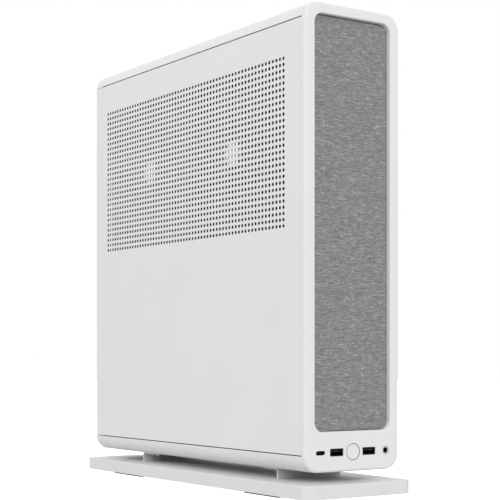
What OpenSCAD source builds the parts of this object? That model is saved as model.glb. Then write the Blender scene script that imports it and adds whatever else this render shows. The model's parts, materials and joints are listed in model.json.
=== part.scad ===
// Slim desktop computer tower on a flat stand.
// Origin: centre of the stand's footprint on the floor. +Z up, front towards -Y, +X right.

/* [Body] */
// Width of the case body, side to side
body_w = 96; // [96:1:100]
// Depth of the case body, front to back
body_d = 354; // [350:1:356]
// Height of the case body, without the stand
body_h = 374; // [374:1:380]
// Outer radius of the four long edges
corner_r = 13; // [11:0.5:15]
// Thickness of the steel sheet
sheet = 1; // [0.8:0.1:1.2]

/* [Front] */
// Depth of the front bezel seen from the side
bezel_t = 4.8; // [4:0.1:6]
// Width of the fabric opening
fabric_w = 77; // [74:0.5:78]
// Height of the fabric opening
fabric_h = 333; // [320:1:336]
// Width of the bezel above the fabric
top_border = 8.5; // [8:0.5:12]
// How far the fabric sits behind the bezel's face
recess = 3.6; // [3:0.1:4]
// Height of the port row above the underside of the body
port_row = 15.7; // [15:0.1:16.5]
// Radius of the power button
button_r = 6.5; // [6:0.1:6.7]

/* [Side panels] */
// Height of the lower panel seam above the underside of the body
seam_low = 13.7; // [13.7:0.1:14.5]
// Distance of the upper panel seam below the top of the body
seam_top = 12.3; // [12.3:0.1:13]
// Width of the gap at a panel seam
seam_gap = 0.7; // [0.6:0.1:1]
// Distance between the centres of neighbouring perforations
pitch = 5; // [4.8:0.1:5]
// Diameter of a perforation
hole_d = 2.9; // [2.4:0.1:3.2]

/* [Stand] */
// Width of the stand plate
base_w = 110; // [106:1:140]
// Length of the stand plate
base_d = 374; // [370:1:390]
// Thickness of the stand plate
base_t = 11; // [11:0.5:14]
// Height of the rubber feet below the plate
foot_h = 1; // [1:0.5:2]
// Height of the air gap between plate and body
gap_h = 9; // [8:0.5:12]

/* [Hidden] */
$fn = 48;

white = "whitesmoke";
half_w = body_w / 2;
front_y = -body_d / 2;
rear_y = body_d / 2;
low_z = foot_h + base_t + gap_h;
top_z = low_z + body_h;
bezel_back = front_y + bezel_t;
in_x = half_w - sheet;

// Side panel field between the two seams, with a land behind each seam
panel_low = low_z + seam_low + seam_gap / 2;
panel_top = top_z - seam_top - seam_gap / 2;
panel_front = bezel_back + 0.3;
closed_seam = 11.8;
land_x = half_w - 3;
land_h = 14;
frame_flange_h = panel_top - panel_low + 12;
stud_ys = [-148, 0, 148];
stud_zs = [panel_low + 6.4, panel_top - 6.4];
socket_r = 3.95;
vent_cols = 61;
vent_y0 = -147.4;
vent_z0 = low_z + 197.7;

// Front: fabric window, port row and the steel frame behind them
open_top = top_z - top_border;
open_low = open_top - fabric_h;
fabric_y = front_y + recess;
fabric_t = 0.8;
insert_t = 3;
plate_y = front_y + 8;
port_z = low_z + port_row;
usb_a_x = 16.5;
usb_c_x = -32.8;
jack_x = 33.9;
jack_r = 3.5;
jack_bore_r = 1.8;
io_top = port_z - 2.85;

// Stand
plate_top = foot_h + base_t;
skin = 2.5;
leg_t = 1.8;
leg_half = 33;
leg_front_y = -117;
leg_rear_y = 108;
flange = 20;
foot_front = [-147, -98];
foot_rear = [77, 130];
foot_x = 51;
foot_w = 5;
rib_ys = [-155, -75, -25, 25, 72, 150];

// Rear frame and the two chambers
rear_plate = rear_y - 2;
divider_z = low_z + 175;

// Mini-ITX board, standing behind the left panel with its parts facing right
pcb = 1.6;
tray_x = -land_x;
board_x = -38;
face_x = board_x + pcb;
board_y = 5;
board_z = low_z + 4;
board_size = 170;
board_hole_y = [board_y + 6.4, board_y + 163.2];
board_hole_z = [board_z + 6.4, board_z + 163.2];
slot_z = board_z + 162.8;
slot_y = [38, 131];
jack_row = 118;
cpu_y = 98;
cpu_z = board_z + 78;
memory_ys = [14, 24];
memory_z = board_z + 16;
memory_len = 140;
latch_x = face_x + 4;
latch_z = memory_z - 3;
pin_r = 0.8;

// Graphics card
card_x = -4;
card_y = [-90, 170];
card_z = [divider_z + 10, divider_z + 114];
card_fans = [-26, 72];
card_fan_z = divider_z + 62;
card_fan_x = 25.2;

// Case fans behind the left panel
fan_size = 140;
fan_t = 15;
fan_x = -45.8;
fan_ys = [-68.3, 73.7];
fan_z = low_z + 265;

// Power supply, small form factor
psu = [63.5, 100, 125];
psu_at = [-20.5, -148, low_z + 31];
psu_fan = [psu_at[1] + 50, psu_at[2] + 62.5];
inlet_at = [28, low_z + 39];

// Routes of the inner leads, as points chosen along the walls
ac_route = [[4, -156, 128], [4, -156, 112], [5, -156, 92], [6, -156, 72], [8, -154.5, 57], [12, -149, 47.5],
  [17, -134, 44.5], [24, -112, 42], [31, -88, 36], [35.5, -60, 31.5], [37, -30, 29.5], [37.5, 0, 29],
  [37.5, 30, 29], [37.5, 60, 29], [37, 90, 29], [36, 112, 31], [33, 130, 38], [29.5, 142, 49], [28, 148, 57],
  [28, 152, 60], [28, 155.9, 60]];
atx_route = [[-15, 38.5, 150], [-6, 38.5, 150], [2, 37, 150], [8, 31, 149], [11, 20, 147], [12, 6, 144],
  [12, -10, 141], [12, -24, 139], [12, -36, 138]];
gpu_route = [[-10, -36, 162], [-10, -28, 162], [-12.5, -21, 165], [-15.5, -18, 174], [-17, -18, 186],
  [-17, -20, 200], [-17, -25, 220], [-17, -30, 245], [-17, -34, 270], [-17, -37, 292], [-16, -39, 308],
  [-11, -39, 319], [-3, -39, 323], [3, -39, 320], [4, -39, 314]];
io_route = [[-20, -140, 36], [-20, -130, 35], [-22, -112, 32.5], [-25, -88, 30], [-28, -60, 29],
  [-30, -30, 29], [-31, 0, 29], [-31, 12, 30], [-31, 19, 31.5], [-31, 25, 32], [-31, 30, 32]];

module at_x(x, y, z) { translate([x, y, z]) rotate([0, 90, 0]) children(); }
module at_y(x, y, z) { translate([x, y, z]) rotate([-90, 0, 0]) children(); }
module box(a, b) { translate(a) cube([b[0] - a[0], b[1] - a[1], b[2] - a[2]]); }

module rounded(w, h, r) {
  square([w - 2 * r, h], center = true);
  square([w, h - 2 * r], center = true);
  for (x = [-1, 1], y = [-1, 1]) translate([x * (w / 2 - r), y * (h / 2 - r)]) circle(r);
}

// A flat outline drawn in X and Z, given its thickness along Y from y0 to y1
module along_y(y0, y1) { translate([0, y1, 0]) rotate([90, 0, 0]) linear_extrude(y1 - y0) children(); }
// A flat outline drawn in Y and Z, given its thickness along X from x0 to x1
module along_x(x0, x1) { translate([x0, 0, 0]) rotate([90, 0, 90]) linear_extrude(x1 - x0) children(); }

module body_outline(inset) {
  translate([0, low_z + body_h / 2]) rounded(body_w - 2 * inset, body_h - 2 * inset, corner_r - inset);
}

module hole_field(cols, rows) {
  for (i = [0:cols - 1], j = [0:rows - 1]) translate([i * pitch, j * pitch]) circle(d = hole_d, $fn = 20);
}

// A screw of one kind for the whole case: M3 with a pan head, pointing along +Z from under its head
module m3(length) {
  translate([0, 0, -2]) cylinder(r = 2.75, h = 2, $fn = 24);
  translate([0, 0, -0.01]) cylinder(r = 1.45, h = length, $fn = 24);
}

// Blades and hub of a fan whose axle lies along X, from x = 0 to x = depth
module rotor(hub_r, tip_r, depth, blades, turn) {
  rotate([0, 90, 0]) cylinder(r = hub_r, h = depth);
  intersection() {
    translate([0.8, 0, 0]) rotate([0, 90, 0]) cylinder(r = tip_r, h = depth - 1.6);
    for (i = [0:blades - 1]) rotate([i * 360 / blades, 0, 0]) translate([depth / 2, 0, hub_r - 2])
      rotate([0, 0, turn]) translate([-depth, -0.8, 0]) cube([2 * depth, 1.6, tip_r]);
  }
}

module fan_body(size, duct_r, depth, hub_r, screw_d) {
  difference() {
    along_x(0, depth) difference() {
      rounded(size, size, 6);
      circle(duct_r);
      for (y = [-1, 1], z = [-1, 1]) translate([y * screw_d / 2, z * screw_d / 2]) circle(1.5, $fn = 24);
    }
  }
  along_x(depth - 2.5, depth) circle(hub_r);
  along_x(depth - 2.5, depth) for (a = [45:90:315]) rotate(a) translate([0, -1.5]) square([duct_r + 2, 3]);
}

// A lead swept along its points as a closed tube with eight flat sides
function unit(v) = v / norm(v);
function heading(p, i) = unit(p[min(i + 1, len(p) - 1)] - p[max(i - 1, 0)]);
function sideways(d) = unit(cross(d, abs(d[0]) > 0.8 ? [0, 1, 0] : [1, 0, 0]));
function ring(c, u, v, ru, rv) = [for (k = [0:7]) c + ru * cos(k * 45) * u + rv * sin(k * 45) * v];
function carry(p, i) = i == 0 ? sideways(heading(p, 0)) : let (u = carry(p, i - 1), d = heading(p, i))
  unit(u - (u * d) * d);
module lead(p, ru, rv) {
  n = len(p);
  rings = [for (i = [0:n - 1]) let (u = carry(p, i), v = cross(heading(p, i), u)) ring(p[i], u, v, ru, rv)];
  sides = [for (i = [0:n - 2], k = [0:7]) let (a = i * 8 + k, b = i * 8 + (k + 1) % 8)
    each [[a, a + 8, b], [b, a + 8, b + 8]]];
  ends = [[for (k = [0:7]) k], [for (k = [7:-1:0]) (n - 1) * 8 + k]];
  polyhedron([for (r = rings) each r], concat(sides, ends));
}

// ---- Shells, frames and panels ----

// One of the two long caps, with the land that the side panels close against
module shell_profile(z_edge, side) {
  intersection() {
    difference() { body_outline(0); body_outline(sheet); }
    translate([-body_w, side > 0 ? z_edge : z_edge - 2 * corner_r]) square([2 * body_w, 2 * corner_r]);
  }
  for (x = [-1, 1]) {
    translate([x * (land_x + 0.5), z_edge + side * (1 - land_h / 2)]) square([1, land_h], center = true);
    translate([x * (land_x + 1.25), z_edge + side * 0.5]) square([2.5, 1], center = true);
  }
}

// The last stretch at the rear, where the cap reaches down to close the seam
module seam_closer(z_edge, side) {
  for (x = [-1, 1]) translate([x * (half_w - sheet / 2), rear_y - closed_seam / 2, z_edge - side * 0.15])
    cube([sheet, closed_seam, 0.4], center = true);
}

module socket_holes(z) {
  for (x = [-1, 1], y = stud_ys) at_x(x * (land_x + 0.5) - 2, y, z) cylinder(r = socket_r, h = 4);
}

module top_shell() {
  color(white) difference() {
    union() {
      along_y(bezel_back, rear_y) shell_profile(panel_top + seam_gap, 1);
      seam_closer(panel_top + seam_gap, 1);
    }
    socket_holes(stud_zs[1]);
    translate([-6 * pitch, -24 * pitch, top_z - 2 * sheet]) linear_extrude(3 * sheet) hole_field(13, 49);
  }
}

module bottom_shell() {
  color(white) {
    difference() {
      union() {
        along_y(bezel_back, rear_y) shell_profile(panel_low - seam_gap, -1);
        seam_closer(panel_low - seam_gap, -1);
      }
      socket_holes(stud_zs[0]);
      for (p = stand_screws()) translate([p[0], p[1], low_z - 1]) cylinder(r = 1.5, h = 4, $fn = 24);
    }
    for (x = [-26, 26], y = [-158, -146]) translate([x, y, low_z + 0.5]) difference() {
      cylinder(r = 2.8, h = io_top - pcb - low_z - 0.5, $fn = 24);
      translate([0, 0, 4]) cylinder(r = 1.5, h = 20, $fn = 24);
    }
  }
}

module front_frame() {
  color("silver") {
    along_y(plate_y, plate_y + sheet) difference() {
      translate([0, low_z + body_h / 2]) rounded(2 * land_x, body_h - 2 * sheet - 0.4, corner_r - 3);
      translate([0, (open_low + open_top) / 2]) rounded(fabric_w - 14, fabric_h - 14, 6);
      for (x = [-1, 1], z = insert_clip_zs()) translate([x * 35.5, z]) circle(2.2, $fn = 24);
      for (x = [-usb_a_x, usb_a_x]) translate([x, port_z]) square([14.4, 7], center = true);
      translate([usb_c_x, port_z]) square([10.4, 4.8], center = true);
      translate([jack_x, port_z]) circle(4.2);
      translate([0, port_z]) circle(3.6);
    }
    for (x = [-1, 1]) translate([x * (land_x - 0.5), plate_y + 5.5, low_z + body_h / 2])
      cube([1, 9, frame_flange_h], center = true);
  }
}

module rear_frame() {
  color(white) {
    difference() {
      along_y(rear_plate, rear_plate + sheet) difference() {
        body_outline(sheet + 0.1);
        translate([board_x - 0.9, board_z + 4.6]) square([44.5, 158.8]);
        for (x = [card_x - 1, card_x + 19.3]) translate([x, card_z[0] + 4]) square([13, 92]);
        translate([inlet_at[0] - 10.1, inlet_at[1] - 14.1]) square([20.2, 28.2]);
        translate([card_x - 33, card_z[0] + 6]) hole_field(6, 29);
        translate([inlet_at[0] - 2 * pitch, inlet_at[1] + 26]) hole_field(5, 17);
        for (x = [-1, 1], z = [panel_low - seam_gap + land_h / 2 - 1, panel_top + seam_gap - land_h / 2 + 1])
          translate([x * (land_x + 1), z]) square([2.1, land_h + 0.4], center = true);
      }
      for (p = bracket_screws()) at_y(p[0], rear_plate - 1, p[1]) cylinder(r = 1.5, h = 4, $fn = 24);
    }
    for (x = [-1, 1]) translate([x * (land_x - 0.5), rear_plate - 6, low_z + body_h / 2])
      cube([1, 12, frame_flange_h], center = true);
  }
}

module chamber_divider() {
  color("silver") difference() {
    box([-land_x + 1, plate_y + 10, divider_z], [land_x - 1, rear_plate, divider_z + sheet]);
    box([card_x - 5, slot_y[0] - 4, divider_z - 1], [card_x + 6.6, slot_y[1] + 4, divider_z + 3]);
    box([-26, -34, divider_z - 1], [-8, -2, divider_z + 3]);
    for (x = [-1, 1]) box([x * (land_x - 0.5) - 1, rear_plate - 12.5, divider_z - 1],
      [x * (land_x - 0.5) + 1, rear_plate + 1, divider_z + 3]);
  }
}

module board_tray() {
  color("silver") {
    difference() {
      box([tray_x, -157, panel_low + 1], [tray_x + 1, rear_plate - 12.5, divider_z - 0.5]);
      for (y = stud_ys) at_x(tray_x - 1, y, stud_zs[0]) cylinder(r = 5.6, h = 3);
      at_x(tray_x - 1, cpu_y, cpu_z) cylinder(r = 38, h = 3);
    }
    along_y(psu_at[1] - 1.2, psu_at[1]) difference() {
      translate([tray_x, psu_at[2] - 3]) square([land_x + 43.5, psu[2] + 6]);
      translate([psu_at[0] + 6, psu_at[2] + 8]) square([psu[0] - 12, psu[2] - 16]);
      translate([tray_x + 6, psu_at[2] + 8]) square([14, psu[2] - 16]);
      translate([ac_route[4][0] - 5, psu_at[2] - 4]) square([12, 14]);
      for (p = psu_screws()) translate(p) circle(1.6, $fn = 24);
    }
  }
}

module fan_bracket() {
  color("silver") {
    difference() {
      box([fan_x + fan_t, -141, divider_z + sheet], [fan_x + fan_t + 1, 147, fan_z + 74]);
      for (y = fan_ys) {
        at_x(fan_x + fan_t - 1, y, fan_z) cylinder(r = 66, h = 3, $fn = 96);
        for (a = [-1, 1], b = [-1, 1]) at_x(fan_x + fan_t - 1, y + a * 62.25, fan_z + b * 62.25)
          cylinder(r = 1.6, h = 3, $fn = 24);
      }
    }
    box([-land_x + 1, -141, divider_z + sheet], [fan_x + fan_t + 0.5, 147, divider_z + 2 * sheet]);
  }
}

// A flat side panel: field of perforations given by its lowest row and its number of rows
module side_panel(fields) {
  along_x(0, sheet) difference() {
    translate([panel_front, panel_low]) square([rear_y - panel_front, panel_top - panel_low]);
    for (f = fields) translate([vent_y0, f[0]]) hole_field(vent_cols, f[1]);
  }
}

module left_panel() { color(white) translate([-half_w, 0, 0]) side_panel([[vent_z0, 28]]); }

module right_panel() {
  color(white) translate([half_w - sheet, 0, 0]) side_panel([[vent_z0, 18], [low_z + 71, 10]]);
}

// Snap studs welded inside a side panel, pointing inwards
module studs(side) {
  for (y = stud_ys, z = stud_zs) translate([side * in_x, y, z]) rotate([0, -side * 90, 0]) union() {
    cylinder(r = 3.2, h = 0.6);
    cylinder(r = 1.8, h = 4.6);
    translate([0, 0, 4.6]) sphere(r = 2.6);
  }
}

module left_panel_studs() { color("silver") studs(-1); }
module right_panel_studs() { color("silver") studs(1); }

module panel_sockets() {
  color("dimgray") for (x = [-1, 1], y = stud_ys, z = stud_zs) translate([x * (land_x + 0.9), y, z])
    rotate([0, -x * 90, 0]) difference() {
      union() {
        cylinder(r = socket_r, h = 6.9);
        translate([0, 0, 0.9]) cylinder(r = 5, h = 0.9);
      }
      translate([0, 0, -1]) cylinder(r = 3.2, h = 9);
    }
}

// ---- Front ----

function insert_clip_zs() = [open_low + 12, (open_low + open_top) / 2, open_top - 12];

module front_bezel() {
  color(white) difference() {
    union() {
      along_y(front_y + 1.6, bezel_back) body_outline(0);
      along_y(front_y + 0.6, front_y + 1.7) body_outline(0.4);
      along_y(front_y, front_y + 0.7) body_outline(1.3);
      along_y(bezel_back - 0.1, plate_y) difference() { body_outline(3.6); body_outline(6.6); }
    }
    along_y(front_y - 1, plate_y + 1) translate([0, (open_low + open_top) / 2]) rounded(fabric_w, fabric_h, 8);
    for (x = [-usb_a_x, usb_a_x]) along_y(front_y - 1, plate_y) translate([x, port_z]) rounded(13.6, 6.2, 0.6);
    along_y(front_y - 1, plate_y) translate([usb_c_x, port_z]) rounded(9.2, 3.5, 1.74);
    at_y(jack_x, front_y - 1, port_z) cylinder(r = jack_r + 0.1, h = 12);
    at_y(0, front_y - 1, port_z) cylinder(r = button_r + 0.3, h = 12);
  }
}

// Plastic grid that carries the fabric and snaps into the steel frame with six pegs
module fabric_frame() {
  window_h = fabric_h - 12;
  color("dimgray") {
    along_y(fabric_y + fabric_t, fabric_y + fabric_t + insert_t) difference() {
      translate([0, (open_low + open_top) / 2]) rounded(fabric_w - 0.8, fabric_h - 0.8, 7.6);
      for (i = [-2:2], j = [0:20]) translate([i * 13, open_low + 6 + (j + 0.5) * window_h / 21])
        square([11, window_h / 21 - 2], center = true);
    }
    for (x = [-1, 1], z = insert_clip_zs()) at_y(x * 35.5, fabric_y + fabric_t + insert_t - 0.1, z)
      cylinder(r = 1.8, h = 5.5, $fn = 24);
  }
}

module front_fabric() {
  color("darkgray") along_y(fabric_y, fabric_y + fabric_t)
    translate([0, (open_low + open_top) / 2]) rounded(fabric_w - 0.8, fabric_h - 0.8, 7.6);
}

module power_button() {
  color(white) {
    at_y(0, front_y + 0.2, port_z) cylinder(r = button_r, h = 5.2);
    at_y(0, bezel_back + 0.4, port_z) cylinder(r = button_r + 1, h = 1.2);
    at_y(0, bezel_back + 1.5, port_z) cylinder(r = 2, h = 3.2, $fn = 32);
  }
}

// Front connector board, with the key switch that the button's stem presses
module io_board() {
  color("darkgreen") difference() {
    box([-42, plate_y + 2, io_top - pcb], [42, plate_y + 29, io_top]);
    for (x = [-26, 26], y = [-158, -146]) translate([x, y, io_top - 3]) cylinder(r = 1.6, h = 6, $fn = 24);
  }
  color("dimgray") box([-3.5, bezel_back + 6, io_top], [3.5, bezel_back + 11, port_z + 3]);
}

module usb_a_ports() {
  for (x = [-usb_a_x, usb_a_x]) {
    color("silver") along_y(front_y + 0.8, front_y + 19) translate([x, port_z]) difference() {
      square([13.1, 5.7], center = true);
      square([12.5, 5.1], center = true);
    }
    color("black") box([x - 6.25, front_y + 15, port_z - 2.55], [x + 6.25, front_y + 18.8, port_z + 2.55]);
    color("black") box([x - 5.55, front_y + 1.6, port_z + 0.2], [x + 5.55, front_y + 15.1, port_z + 2.04]);
  }
}

module usb_c_port() {
  color("silver") along_y(front_y + 0.8, front_y + 11) translate([usb_c_x, port_z]) difference() {
    rounded(8.94, 3.16, 1.57);
    rounded(8.34, 2.56, 1.27);
  }
  color("black") {
    along_y(front_y + 8, front_y + 10.9) translate([usb_c_x, port_z]) rounded(8.34, 2.56, 1.27);
    box([usb_c_x - 3.35, front_y + 2.4, port_z - 0.35], [usb_c_x + 3.35, front_y + 8.1, port_z + 0.35]);
    box([usb_c_x - 4.2, plate_y + 2, io_top], [usb_c_x + 4.2, front_y + 10.8, port_z - 1.58]);
  }
}

module audio_jack() {
  color("dimgray") difference() {
    union() {
      at_y(jack_x, front_y + 0.4, port_z) cylinder(r = jack_r, h = 9.6);
      box([jack_x - 4, plate_y + 1.5, io_top], [jack_x + 4, plate_y + 13, port_z + 3.6]);
    }
    at_y(jack_x, front_y, port_z) cylinder(r = jack_bore_r, h = 15);
  }
}

// ---- Stand ----

function stand_screws() = [for (x = [-22, 22], y = [leg_front_y + 10, leg_rear_y - 10]) [x, y]];
function plate_screws() = [for (x = [-22, 22], y = [leg_front_y + 14, leg_rear_y - 14]) [x, y]];
function foot_blocks() = [for (x = [-foot_x, foot_x], f = [foot_front, foot_rear]) [x, f]];

module base_plate() {
  color(white) difference() {
    union() {
      translate([0, 0, foot_h + 0.6]) linear_extrude(base_t - 1.2) rounded(base_w, base_d, 9);
      translate([0, 0, foot_h]) linear_extrude(base_t) rounded(base_w - 1.2, base_d - 1.2, 8.4);
    }
    difference() {
      translate([0, 0, foot_h - 1]) linear_extrude(base_t - skin + 1)
        rounded(base_w - 2 * skin, base_d - 2 * skin, 6.5);
      for (y = rib_ys) translate([-base_w / 2, y - 0.8, foot_h + 1]) cube([base_w, 1.6, base_t]);
      for (b = foot_blocks()) box([b[0] - 5, b[1][0] - 3, foot_h], [b[0] + 5, b[1][1] + 3, base_t]);
    }
    for (b = foot_blocks()) box([b[0] - foot_w / 2, b[1][0], foot_h - 1], [b[0] + foot_w / 2, b[1][1], foot_h + 1]);
    for (y = [leg_front_y, leg_rear_y]) box([-leg_half, y - leg_t / 2, foot_h + 1],
      [leg_half, y + leg_t / 2, base_t + 5]);
    for (p = plate_screws()) translate([p[0], p[1], foot_h + 1]) cylinder(r = 1.5, h = base_t - 1.3, $fn = 24);
  }
}

module rubber_feet() {
  color("dimgray") for (b = foot_blocks()) box([b[0] - foot_w / 2, b[1][0], 0], [b[0] + foot_w / 2, b[1][1], foot_h + 1]);
}

// Bent steel foot: leg through the plate, one flange under the body and one under the plate's skin
module stand_bracket(y, side) {
  low_flange = plate_top - skin - leg_t;
  color(white) difference() {
    union() {
      box([-leg_half, y - leg_t / 2, low_flange], [leg_half, y + leg_t / 2, low_z]);
      for (z = [low_flange, low_z - leg_t]) translate([0, y + side * flange / 2, z + leg_t / 2])
        cube([2 * leg_half, flange, leg_t], center = true);
    }
    for (x = [-22, 22]) {
      translate([x, y + side * 10, low_z - 4]) cylinder(r = 1.6, h = 8, $fn = 24);
      translate([x, y + side * 14, 0]) cylinder(r = 1.6, h = plate_top - 1, $fn = 24);
    }
  }
}

module stand_bracket_front() { stand_bracket(leg_front_y, 1); }
module stand_bracket_rear() { stand_bracket(leg_rear_y, -1); }

// ---- Screws ----

function psu_screws() = [for (x = [psu_at[0] + 3, psu_at[0] + 60.5], z = [psu_at[2] + 4, psu_at[2] + 121]) [x, z]];
function bracket_screws() = [for (x = [card_x + 5.5, card_x + 25.8]) [x, card_z[1] + 3]];

module m3_screws() {
  color("dimgray") {
    for (p = stand_screws()) translate([p[0], p[1], low_z - leg_t]) m3(6);
    for (p = plate_screws()) translate([p[0], p[1], plate_top - skin - leg_t]) m3(4);
    for (y = board_hole_y, z = board_hole_z) at_x(face_x, y, z) mirror([0, 0, 1]) m3(5);
    for (x = [-26, 26], y = [-158, -146]) translate([x, y, io_top]) mirror([0, 0, 1]) m3(5);
    for (p = psu_screws()) at_y(p[0], psu_at[1] - 1.2, p[1]) m3(5);
    for (p = bracket_screws()) at_y(p[0], rear_plate + 1, p[1]) mirror([0, 0, 1]) m3(4);
    for (y = fan_ys, a = [-1, 1], b = [-1, 1])
      at_x(fan_x + fan_t + 1, y + a * 62.25, fan_z + b * 62.25) mirror([0, 0, 1]) m3(9);
  }
}

// ---- Board, processor, cooler and memory ----

module motherboard() {
  color("darkslategray") difference() {
    box([board_x, board_y, board_z], [face_x, board_y + board_size, board_z + board_size]);
    for (y = board_hole_y, z = board_hole_z) at_x(board_x - 1, y, z) cylinder(r = 1.6, h = 4, $fn = 24);
    for (a = [-1, 1], b = [-1, 1]) at_x(board_x - 1, cpu_y + a * 37.5, cpu_z + b * 37.5)
      cylinder(r = 2.05, h = 4, $fn = 24);
  }
}

module board_standoffs() {
  color("gold") for (y = board_hole_y, z = board_hole_z) at_x(tray_x + 1, y, z) difference() {
    cylinder(r = 2.8, h = board_x - tray_x - 1, $fn = 24);
    translate([0, 0, 1]) cylinder(r = 1.5, h = 8, $fn = 24);
  }
}

module cpu_socket() {
  color("silver") along_x(face_x, face_x + 3.6) translate([cpu_y, cpu_z]) difference() {
    rounded(52, 56, 3);
    square([38, 38], center = true);
  }
}

module cpu() {
  color("darkgreen") box([face_x + 0.4, cpu_y - 18.7, cpu_z - 18.7], [face_x + 1.8, cpu_y + 18.7, cpu_z + 18.7]);
  color("silver") along_x(face_x + 1.8, face_x + 4.6) translate([cpu_y, cpu_z]) rounded(31, 31, 1.5);
}

module cooler_heatsink() {
  base_x = face_x + 4.6;
  color("silver") {
    translate([0, 0, cpu_z - 46]) linear_extrude(92) {
      translate([base_x + 5, cpu_y - 46]) square([4, 92]);
      for (i = [0:36]) translate([base_x + 8.9, cpu_y - 46 + i * 2.533]) square([27, 0.8]);
    }
    box([base_x, cpu_y - 18, cpu_z - 18], [base_x + 5.1, cpu_y + 18, cpu_z + 18]);
    for (a = [-1, 1], b = [-1, 1]) at_x(face_x, cpu_y + a * 37.5, cpu_z + b * 37.5) cylinder(r = 3, h = 9.7);
  }
}

cooler_fan_x = face_x + 40.5;

module cooler_fan_frame() {
  color("dimgray") translate([cooler_fan_x + 15, cpu_y, cpu_z]) mirror([1, 0, 0]) fan_body(92, 43.5, 15, 19, 82.5);
}

module cooler_fan_rotor() {
  color("dimgray") translate([cooler_fan_x + 3.1, cpu_y, cpu_z]) rotor(18, 42, 11.4, 7, 38);
}

module memory_slots() {
  color("black") for (y = memory_ys) difference() {
    box([face_x, y - 3.4, memory_z], [face_x + 8.5, y + 3.4, memory_z + memory_len]);
    box([face_x + 2, y - 0.8, memory_z + 3.3], [face_x + 9, y + 0.8, memory_z + memory_len - 3.3]);
  }
  color("black") for (y = memory_ys, s = [-1, 1]) difference() {
    box([face_x, y + s * 3.3 - 0.35, latch_z - 2.4], [face_x + 7, y + s * 3.3 + 0.35, memory_z]);
    at_y(latch_x, y + s * 3.3 - 1, latch_z) cylinder(r = pin_r + 0.25, h = 2, $fn = 24);
  }
}

module memory_modules() {
  for (y = memory_ys) {
    color("darkgreen") box([face_x + 2.5, y - 0.65, memory_z + 3.4],
      [face_x + 33, y + 0.65, memory_z + memory_len - 3.4]);
    color("dimgray") for (s = [-1, 1]) box([face_x + 9.5, y + s * 1.6 - 0.95, memory_z + 4.5],
      [face_x + 35, y + s * 1.6 + 0.95, memory_z + memory_len - 4.5]);
  }
}

// Ejector of a memory slot, turning on a pin in the slot's ears, with its hook over the end of the slot
module memory_latch(y) {
  color("gray") {
    at_y(latch_x, y - 3.5, latch_z) cylinder(r = pin_r, h = 7, $fn = 24);
    box([latch_x - 1.6, y - 2.6, latch_z - 1.6], [latch_x + 12.5, y + 2.6, latch_z + 1.9]);
    box([latch_x + 9.5, y - 2.6, latch_z + 1.8], [latch_x + 12.5, y + 2.6, latch_z + 5.5]);
  }
}

module memory_latch_a() { memory_latch(memory_ys[0]); }
module memory_latch_b() { memory_latch(memory_ys[1]); }

module card_slot() {
  difference() {
    translate([-3.75, 0, 0]) cube([7.5, slot_y[1] - slot_y[0], 11.2]);
    translate([-0.95, 2.4, 3]) cube([1.9, slot_y[1] - slot_y[0] - 4.8, 9]);
  }
}

module board_pcie_slot() {
  color("black") translate([face_x, slot_y[0], slot_z]) rotate([0, 90, 0]) card_slot();
}

module rear_io_ports() {
  io = board_z + 14;
  back = rear_plate + 0.4;
  color("silver") {
    // Two stacks of two USB sockets
    for (z = [io + 22, io + 44]) along_y(back - 18, back) difference() {
      translate([face_x, z]) square([15.8, 14.4]);
      for (x = [1, 8.6]) translate([face_x + x, z + 0.8]) square([6, 12.8]);
    }
    // Network socket
    along_y(back - 21, back) difference() {
      translate([face_x, io + 68]) square([13.6, 16]);
      translate([face_x + 3, io + 70]) square([7.2, 12]);
    }
    // Two display sockets
    for (z = [io, io + 100]) along_y(back - 12, back) difference() {
      translate([face_x, z]) square([6.4, 16.4]);
      translate([face_x + 0.8, z + 0.8]) square([4.8, 14.8]);
    }
  }
  color("black") {
    for (z = [io + 22, io + 44], x = [4.9, 12.5]) box([face_x + x, back - 17, z + 0.9], [face_x + x + 1.8, back - 1.5, z + 13.5]);
    for (z = [io + 22, io + 44]) box([face_x + 1, back - 17.9, z + 0.8], [face_x + 14.6, back - 16, z + 13.6]);
    box([face_x + 3, back - 20.9, io + 70], [face_x + 10.2, back - 15, io + 82]);
    for (z = [io, io + 100]) box([face_x + 0.8, back - 11.9, z + 0.8], [face_x + 5.6, back - 8, z + 15.6]);
  }
  color("dimgray") for (i = [0:2]) difference() {
    box([face_x, back - 14, io + jack_row + i * 9.4], [face_x + 12, back - 1, io + jack_row + 8.6 + i * 9.4]);
    at_y(face_x + 6, back - 13, io + jack_row + 4.3 + i * 9.4) cylinder(r = 1.8, h = 20);
  }
}

module io_shield() {
  io = board_z + 14;
  color("silver") along_y(rear_plate + 0.1, rear_plate + 0.9) difference() {
    translate([board_x - 0.8, board_z + 4.7]) square([44.3, 158.6]);
    for (z = [io + 22, io + 44]) translate([face_x - 0.2, z - 0.2]) square([16.2, 14.8]);
    translate([face_x - 0.2, io + 67.8]) square([14, 16.4]);
    for (z = [io, io + 100]) translate([face_x - 0.2, z - 0.2]) square([6.8, 16.8]);
    for (i = [0:2]) translate([face_x + 6, io + jack_row + 4.3 + i * 9.4]) circle(3.6);
    for (i = [0:5], j = [0:28]) translate([-14 + i * 3.4, board_z + 12 + j * 5]) circle(1.2, $fn = 20);
  }
}

// Sockets for the inner leads
module board_headers() {
  color("black") {
    box([face_x, 34, 124], [face_x + 12, 43.6, 176]);
    box([face_x, 30, 30], [face_x + 9, 48, 40]);
    box([face_x, 118, board_z + 1], [face_x + 12, 140, board_z + 9]);
  }
}

// ---- Riser and graphics card ----

module riser_card() {
  color("darkgreen") box([face_x + 4, slot_y[0] + 3, slot_z - 0.8], [card_x + 12, slot_y[1] - 3, slot_z + 0.8]);
}

module riser_slot() { color("black") translate([card_x + 0.8, slot_y[0], slot_z + 0.8]) card_slot(); }

card_face = card_x + pcb;

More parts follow.
